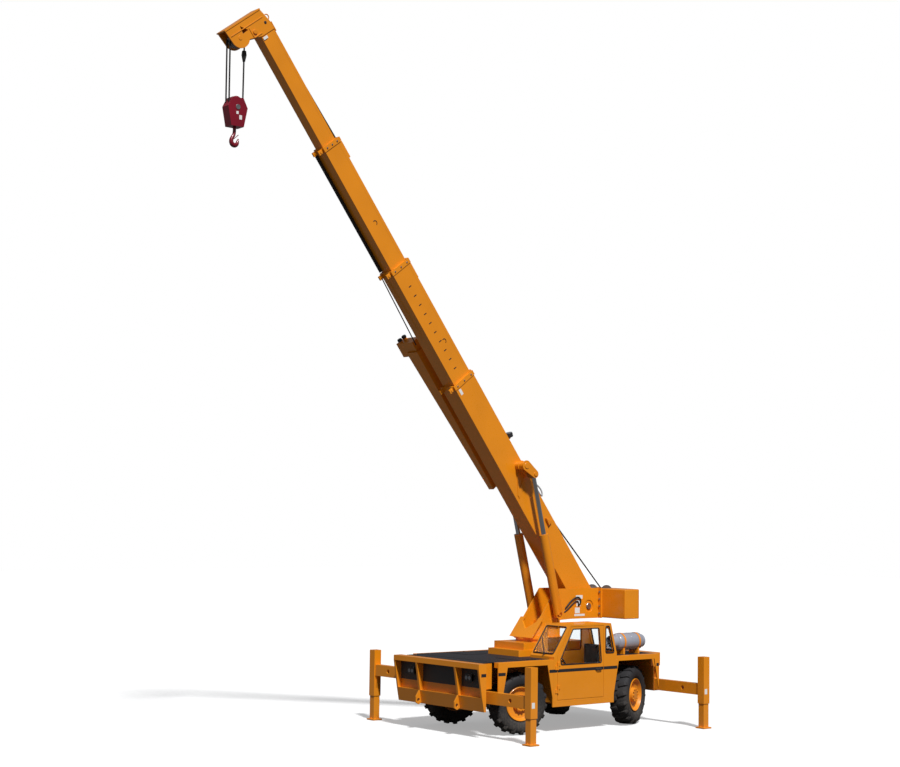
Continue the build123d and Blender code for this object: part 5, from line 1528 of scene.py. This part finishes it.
# %% Work lamp and its hose
LAMP_ALONG, LAMP_Y = 3.70, 0.10
LAMP_LEAN = radians(70)
lamp_at = boom_at(LAMP_ALONG, 0.50, LAMP_Y, (0, LAMP_LEAN, 0))
lens_at = lamp_at @ Matrix.Translation((0, 0, 0.088))
lamp_stem = block((0.05, 0.03, 0.11), 0.004, boom_at(LAMP_ALONG, 0.455, LAMP_Y))
fit(settle(disc(0.075, 0.09, 0.012), lamp_at), "boom_lamp", "boom_base", plastic)
fit(settle(disc(0.066, 0.008), lens_at), "boom_lamp_lens", "boom_base", lens_clear)
fit(lamp_stem, "boom_lamp_stem", "boom_base", paint)

LAMP_HOSE_LINE = (
    # along, y, up
    (2.62, 0.0, 0.41),
    (2.64, 0.02, 0.47),
    (2.56, 0.05, 0.56),
    (2.38, 0.07, 0.59),
    (2.28, 0.09, 0.52),
    (2.36, 0.14, 0.45),
    (2.60, 0.17, 0.430),
    (2.82, 0.18, 0.424),
)
hose_grey = finish("hose_grey", (0.42, 0.43, 0.45), 0.5, ripple_scale=200.0)
lamp_hose = settle(pipe(LAMP_HOSE_LINE, 0.015), BOOM)
fit(lamp_hose, "boom_top_hose", "boom_base", hose_grey)
print("lamp set")

# %% [markdown]
# ## Marks, a sticker, a painted highlight and seams on the boom
# Ten plain marks run along the second section, a blank sticker is stuck on the base, a small
# white film on the head is a painted highlight, and a weld seam follows the top of each box
# section. All lie on flat steel, so all are thin films or strips. Each rides on its own
# section, so none is left behind when the boom runs out.

# %% Length marks, a sticker and a painted highlight
MARKS = 10
MARK_STEP = 0.2
MARK_SIZE = (0.020, FILM, 0.07)
marks = [
    block(MARK_SIZE, FILM_EDGE, boom_at(5.55 + MARK_STEP * step, 0.12, 0.1617))
    for step in range(MARKS)
]
fit(joined(*marks), "length_marks", "boom_2", stripe_black)
base_label_at = boom_at(5.12, -0.045, 0.1905) @ STAND
# the small white film on the head is a painted highlight, not a sticker
head_highlight_at = boom_at(12.52, 0.02, 0.1225) @ STAND
film("boom_base_label", (0.12, 0.06), base_label_at, "boom_base", label_white)
film("head_painted_highlight", (0.05, 0.10), head_highlight_at, "boom_4", label_white)
print("marks:", MARKS)

# %% Weld seams
SEAM_HEIGHT = 0.012
SEAM_SUNK = 0.0003
SEAMS = (
    # body, half width, up, from, to
    ("boom_3", 0.136, 0.285, 7.95, 10.27),
    ("boom_4", 0.110, 0.235, 10.50, 12.50),
    ("boom_2", 0.162, 0.325, 5.40, 7.70),
)
for body, half_width, up, seam_from, seam_to in SEAMS:
    for side, hand, _ in SIDES:
        size = (seam_to - seam_from, FILM, SEAM_HEIGHT)
        seam_at = boom_at((seam_from + seam_to) / 2, up, hand * (half_width - SEAM_SUNK))
        seam = block(size, FILM_EDGE, seam_at)
        fit(seam, body + "_" + side + "_seam", body, frame_paint)
print("seams:", 2 * len(SEAMS))

# %% [markdown]
# ## Collars of the boom
# Each outer section ends in a collar that holds the wear pads on which the next one slides.
# Screws press the pads in from the sides, three on each, and two short bars stand on top
# as runners for the rope. The screws are six-sided discs and the bars rounded blocks. A
# table of the sections gives each collar's place, so the same loop dresses all three.

# %% Pad screws and top runners
SCREW_BACK = 0.045
SCREW_IN = 0.07
SCREW_OUT = 0.013
RUNNER_SIZE = (0.34, 0.035, 0.05)
RUNNER_BACK = 0.26
RUNNER_UP = 0.024
RUNNER_Y = 0.10
for body, (half_width, low, high, front) in SECTIONS.items():
    screws = [
        settle(
            disc(0.016, 0.014, 0.004, steps=6),
            boom_at(front - SCREW_BACK, up, hand * (half_width + SCREW_OUT), turn),
        )
        for _, hand, turn in SIDES
        for up in (low + SCREW_IN, (low + high) / 2, high - SCREW_IN)
    ]
    fit(joined(*screws), body + "_pad_screws", body, steel)
    runners = [
        block(RUNNER_SIZE, 0.006, boom_at(front - RUNNER_BACK, high + RUNNER_UP, y))
        for y in (-RUNNER_Y, RUNNER_Y)
    ]
    fit(joined(*runners), body + "_top_runners", body, paint)
print("collars dressed:", len(SECTIONS))

# %% [markdown]
# ## Brackets and lugs on the boom's sides
# A small three-cornered bracket is welded to the base, and bent lugs stand on the sliding
# sections, where a line can be hooked in. The bracket is a plate. A lug is a bent bar, so
# it is a pipe along an arc, and a whole ring of it is the lifting eye on the head.

# %% Side bracket, bent lugs and head eye
BRACKET = ((0.0, 0.0), (0.16, 0.02), (0.02, 0.11))
LUG_R = 0.045
EYE_R = 0.05
CRESCENTS = (
    # name, body, along, up, y
    ("left_crescent_3", "boom_3", 8.70, 0.14, 0.137),
    ("right_crescent_3", "boom_3", 8.70, 0.14, -0.137),
    ("left_crescent_2", "boom_2", 6.10, 0.20, 0.163),
)


def arc(radius, first, last, step):
    """Points on a flat arc round the origin, at whole degrees."""
    return [
        (radius * cos(radians(turn)), radius * sin(radians(turn)), 0)
        for turn in range(first, last, step)
    ]


bracket_at = boom_at(1.80, 0.22, 0.24) @ STAND
fit(settle(plate(BRACKET, 0.05, 0.006), bracket_at), "side_bracket", "boom_base", frame_paint)
for lug_name, body, along, up, y in CRESCENTS:
    bent_lug = settle(pipe(arc(LUG_R, -20, 190, 30), 0.007), boom_at(along, up, y) @ STAND)
    fit(bent_lug, lug_name, body, stripe_black)
head_eye = pipe(arc(EYE_R, 0, 360, 30), 0.010, closed=True)
fit(settle(head_eye, boom_at(12.80, 0.29, 0.06) @ STAND), "head_eye", "boom_4", paint)
print("lugs:", len(CRESCENTS))

# %% [markdown]
# ## Extension rope and a dark band under the boom
# Under the boom, ropes or rods pull the sections out together. They grow longer as the boom
# runs out, and a rigid bar could only do that by sliding into something. Here one rope is a
# taut pipe from the base to the second section, and a thicker dark pipe under the third
# makes a dark band there. Both are left on no body.

# %% An extension rope and a dark band under the boom
EXTEND_ROPES = (
    # name, rear body, front body, rear point, front point, radius
    # the first row is a dark pipe 30 mm thick that makes the dark band along the underside of boom_3
    ("dark_band_under_boom_3", "boom_2", "boom_3", (7.83, -0.092), (10.27, -0.092), 0.030),
    ("extend_rope_2", "boom_base", "boom_2", (6.30, -0.200), (7.72, -0.140), 0.011),
)
ROPE_SIDE_Y = -0.125
for rope_name, rear, front, rear_spot, front_spot, radius in EXTEND_ROPES:
    rear_point = on_boom(*rear_spot, ROPE_SIDE_Y)
    front_point = on_boom(*front_spot, ROPE_SIDE_Y)
    line = rope(rope_name, spread(rear_point, front_point, 10), None, radius)
    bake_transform(line)
print("extension ropes:", len(EXTEND_ROPES))

# %% [markdown]
# ## Boss caps and head stiffeners
# The lift cylinders hold the boom by a boss that sticks out on both sides, closed by a cap.
# The head's cheeks are plates with welded stiffeners, a knob and a pin. Extruding them out
# of the cheeks would change the CAD copy, so they are discs and bars laid on the steel.

# %% Boss caps, stiffeners and pins of the head
CHEEK_Y = 0.1225
STIFFENERS = (
    # size, along, up
    ((0.018, 0.016, 0.78), 12.85, -0.22),
    ((0.018, 0.020, 0.20), 12.62, -0.10),
    ((0.20, 0.020, 0.018), 12.71, -0.19),
)
for side, hand, turn in SIDES:
    cap = settle(disc(0.058, 0.012, 0.004), boom_at(3.18, 0.285, hand * 0.445, turn))
    fit(cap, side + "_boss_cap", "boom_base", paint)
    bars = [
        block(size, 0.004, boom_at(along, up, hand * CHEEK_Y)) for size, along, up in STIFFENERS
    ]
    knob = settle(disc(0.042, 0.022, 0.005), boom_at(12.70, -0.12, hand * 0.120, turn))
    stiffeners = smooth(joined(*bars, knob))
    fit(stiffeners, side + "_head_stiffeners", "boom_4", frame_paint)
    pin = settle(disc(0.026, 0.012), boom_at(12.74, 0.17, hand * 0.118, turn))
    fit(pin, side + "_head_pin", "boom_4", plastic)
print("head stiffened")

# %% [markdown]
# ## Knobs of the stowed jib
# Two round knobs hold the folded jib's front fitting. They are short discs with wide
# chamfers, one above the other, facing forward.

# %% Knobs of the stowed jib
JIB_FRONT = 6.325
JIB_Y = -0.74
for knob_name, up in (("upper_jib_knob", 0.08), ("lower_jib_knob", -0.04)):
    knob = settle(disc(0.046, 0.055, 0.010), boom_at(JIB_FRONT, up, JIB_Y, FACE_FRONT))
    fit(knob, knob_name, "boom_base", plastic)
print("jib knobs set")

# %% [markdown]
# ## Hoses on the turret
# Two oil hoses leave the turret's left cheek, bow out and come back into it. A hose keeps
# its bend between two fittings, so each is a smooth pipe through a few points whose ends
# are set into the steel.

# %% Hoses on the turret's left cheek
TURRET_HOSES = (
    # name, radius, points on the machine
    (
        "left_cheek_hose",
        0.014,
        (
            (-0.44, 0.245, 2.20),
            (-0.47, 0.268, 2.25),
            (-0.58, 0.270, 2.36),
            (-0.74, 0.272, 2.44),
            (-0.84, 0.272, 2.40),
            (-0.84, 0.272, 2.30),
            (-0.80, 0.245, 2.26),
        ),
    ),
    (
        "left_return_hose",
        0.012,
        (
            (-0.42, 0.245, 2.14),
            (-0.46, 0.264, 2.17),
            (-0.60, 0.266, 2.28),
            (-0.72, 0.266, 2.36),
            (-0.80, 0.266, 2.34),
            (-0.79, 0.245, 2.24),
        ),
    ),
)
for hose_name, radius, points in TURRET_HOSES:
    fit(settle(pipe(points, radius), CHASSIS), hose_name, "turret", rubber_seal)
print("turret hoses:", len(TURRET_HOSES))

# %% [markdown]
# ## Turret and counterweight details
# The counterweight is a cast block bolted to the turret's tail, so it shows bolt heads, and
# the boom's pivot pin is closed by a cap on each cheek. Both are discs, the heads with six
# sides. Four blank stickers are films on the left cheek.

# %% Bolts, pivot caps and stickers
BOLT_HEIGHTS = (2.10, 2.24, 2.38, 2.52)
CHEEK_FACE_Y = 0.2495
CHEEK_LABELS = (
    # name, x, z, width, height
    ("upper_cheek_label", -0.82, 2.43, 0.18, 0.07),
    ("middle_cheek_label", -0.80, 2.31, 0.11, 0.12),
    ("lower_cheek_label", -0.77, 2.17, 0.13, 0.11),
    ("wide_cheek_label", -0.83, 2.08, 0.28, 0.04),
)
for side, hand, turn in SIDES:
    heads = [
        settle(disc(0.022, 0.016, 0.004, steps=6), chassis_at(-1.340, hand * 0.285, z, FACE_FRONT))
        for z in BOLT_HEIGHTS
    ]
    fit(joined(*heads), side + "_counterweight_bolts", "turret", steel)
    cap = settle(disc(0.062, 0.022, 0.006), boom_at(PIVOT_ALONG, PIVOT_UP, hand * 0.238, turn))
    fit(cap, side + "_pivot_cap", "turret", steel)
for label_name, x, z, width, height in CHEEK_LABELS:
    label_at = chassis_at(x, CHEEK_FACE_Y, z, FACE_RIGHT)
    film(label_name, (width, height), label_at, "turret", label_white)
print("turret pieces set")

# %% [markdown]
# ## Floor, light and camera
# The floor is a wide plane. A real studio floor would throw a lot of light back and wash
# out the boom's underside, so its material answers by the kind of ray: a camera sees a pale
# floor that keeps the crane's shadow, and the light that bounces off it is dim.

# %% The floor
FLOOR_SIZE = 160
FLOOR_BOUNCE = (0.11, 0.11, 0.11, 1.0)
FLOOR_SEEN = (0.62, 0.62, 0.62, 1.0)
FLOOR_GLOW = 0.36
WHITE = (1.0, 1.0, 1.0, 1.0)
bpy.ops.object.select_all(action="DESELECT")
bpy.ops.mesh.primitive_plane_add(size=FLOOR_SIZE, location=(0, 0, 0))
floor = bpy.context.object
floor.name = "floor"
floor_paint = bpy.data.materials.new("pale_floor")
floor_paint.use_nodes = True
ground = floor_paint.node_tree
dull = ground.nodes["Principled BSDF"]
dull.inputs["Base Color"].default_value = FLOOR_BOUNCE
dull.inputs["Roughness"].default_value = 0.95
dull.inputs["Specular IOR Level"].default_value = 0.0


def seen_directly(tree):
    """A mask that is 1 where a camera looks, straight or through glass."""
    ray = add_node(tree, "LightPath")
    return add_node(
        tree,
        "Math",
        [(0, ray.outputs["Is Camera Ray"]), (1, ray.outputs["Is Transmission Ray"])],
        operation="MAXIMUM",
    )


pale = add_node(ground, "BsdfDiffuse", Color=FLOOR_SEEN)
glow = add_node(ground, "Emission", Color=WHITE, Strength=FLOOR_GLOW)
lit = add_node(ground, "AddShader", [(0, pale.outputs[0]), (1, glow.outputs[0])])
either_floor = add_node(
    ground,
    "MixShader",
    [(0, seen_directly(ground).outputs[0]), (1, dull.outputs[0]), (2, lit.outputs[0])],
)
ground.links.new(either_floor.outputs[0], ground.nodes["Material Output"].inputs["Surface"])
floor.data.materials.append(floor_paint)
print("floor side:", FLOOR_SIZE, "m")

# %% [markdown]
# ### World
# The sky is white where a camera sees it and dim for everything else, by the same mask of
# rays. A white sky for all rays would light the crane from every side and take its shade
# away.

# %% The world: white to the camera, a dim sky to the crane
SKY_COLOUR = (0.92, 0.95, 1.0, 1.0)
SKY_STRENGTH = 0.18
world = bpy.data.worlds.new("studio")
bpy.context.scene.world = world
world.use_nodes = True
sky = world.node_tree
for node in list(sky.nodes):
    sky.nodes.remove(node)
dim = add_node(sky, "Background", Color=SKY_COLOUR, Strength=SKY_STRENGTH)
white = add_node(sky, "Background", Color=WHITE, Strength=1.0)
mixed = add_node(
    sky,
    "MixShader",
    [(0, seen_directly(sky).outputs[0]), (1, dim.outputs[0]), (2, white.outputs[0])],
)
add_node(sky, "OutputWorld", [("Surface", mixed.outputs[0])])
print("sky strength:", SKY_STRENGTH)

# %% [markdown]
# ### Sun
# One sun stands high on the crane's left. It is a few degrees wide, wider than the real
# one, so that the shadow's edge is soft, as on a hazy day. An area lamp would have to be
# very large to light a boom this long evenly.

# %% The sun
SUN_ENERGY = 4.0
SUN_WIDTH = radians(6)
SUN_FROM = Vector((0.32, 0.80, 1.10))
bpy.ops.object.light_add(type="SUN", location=(0, 0, 20))
sun = bpy.context.object
sun.name = "sun"
sun.data.energy = SUN_ENERGY
sun.data.angle = SUN_WIDTH
sun.rotation_euler = SUN_FROM.to_track_quat("Z", "Y").to_euler()
print("sun energy:", SUN_ENERGY)

# %% [markdown]
# ### Camera
# The camera stands low and far off, ahead of the crane on its left. Its heading, tilt and
# roll are turned into three square axes, because Euler angles on a camera are hard to read.

# %% The camera
CAMERA_AT = Vector((MIDDLE_X + 22.507, 24.53, 3.973))
CAMERA_YAW = 4.024
CAMERA_PITCH = 0.078
CAMERA_ROLL = 0.013
LENS_MM = 68
SENSOR_MM = 36
SEE_TO = 300
look = Vector(
    (
        cos(CAMERA_YAW) * cos(CAMERA_PITCH),
        sin(CAMERA_YAW) * cos(CAMERA_PITCH),
        sin(CAMERA_PITCH),
    )
)
level = look.cross(Vector((0, 0, 1))).normalized()
upright = level.cross(look)
right = level * cos(CAMERA_ROLL) + upright * sin(CAMERA_ROLL)
top = right.cross(look)
bpy.ops.object.camera_add(location=CAMERA_AT)
camera = bpy.context.object
camera.name = "camera"
camera.rotation_euler = Matrix((right, top, -look)).transposed().to_euler()
camera.data.sensor_width = SENSOR_MM
camera.data.lens = LENS_MM
camera.data.clip_end = SEE_TO
bpy.context.scene.camera = camera
bpy.context.scene.view_settings.view_transform = "Standard"
print("camera at:", [round(value, 2) for value in CAMERA_AT])
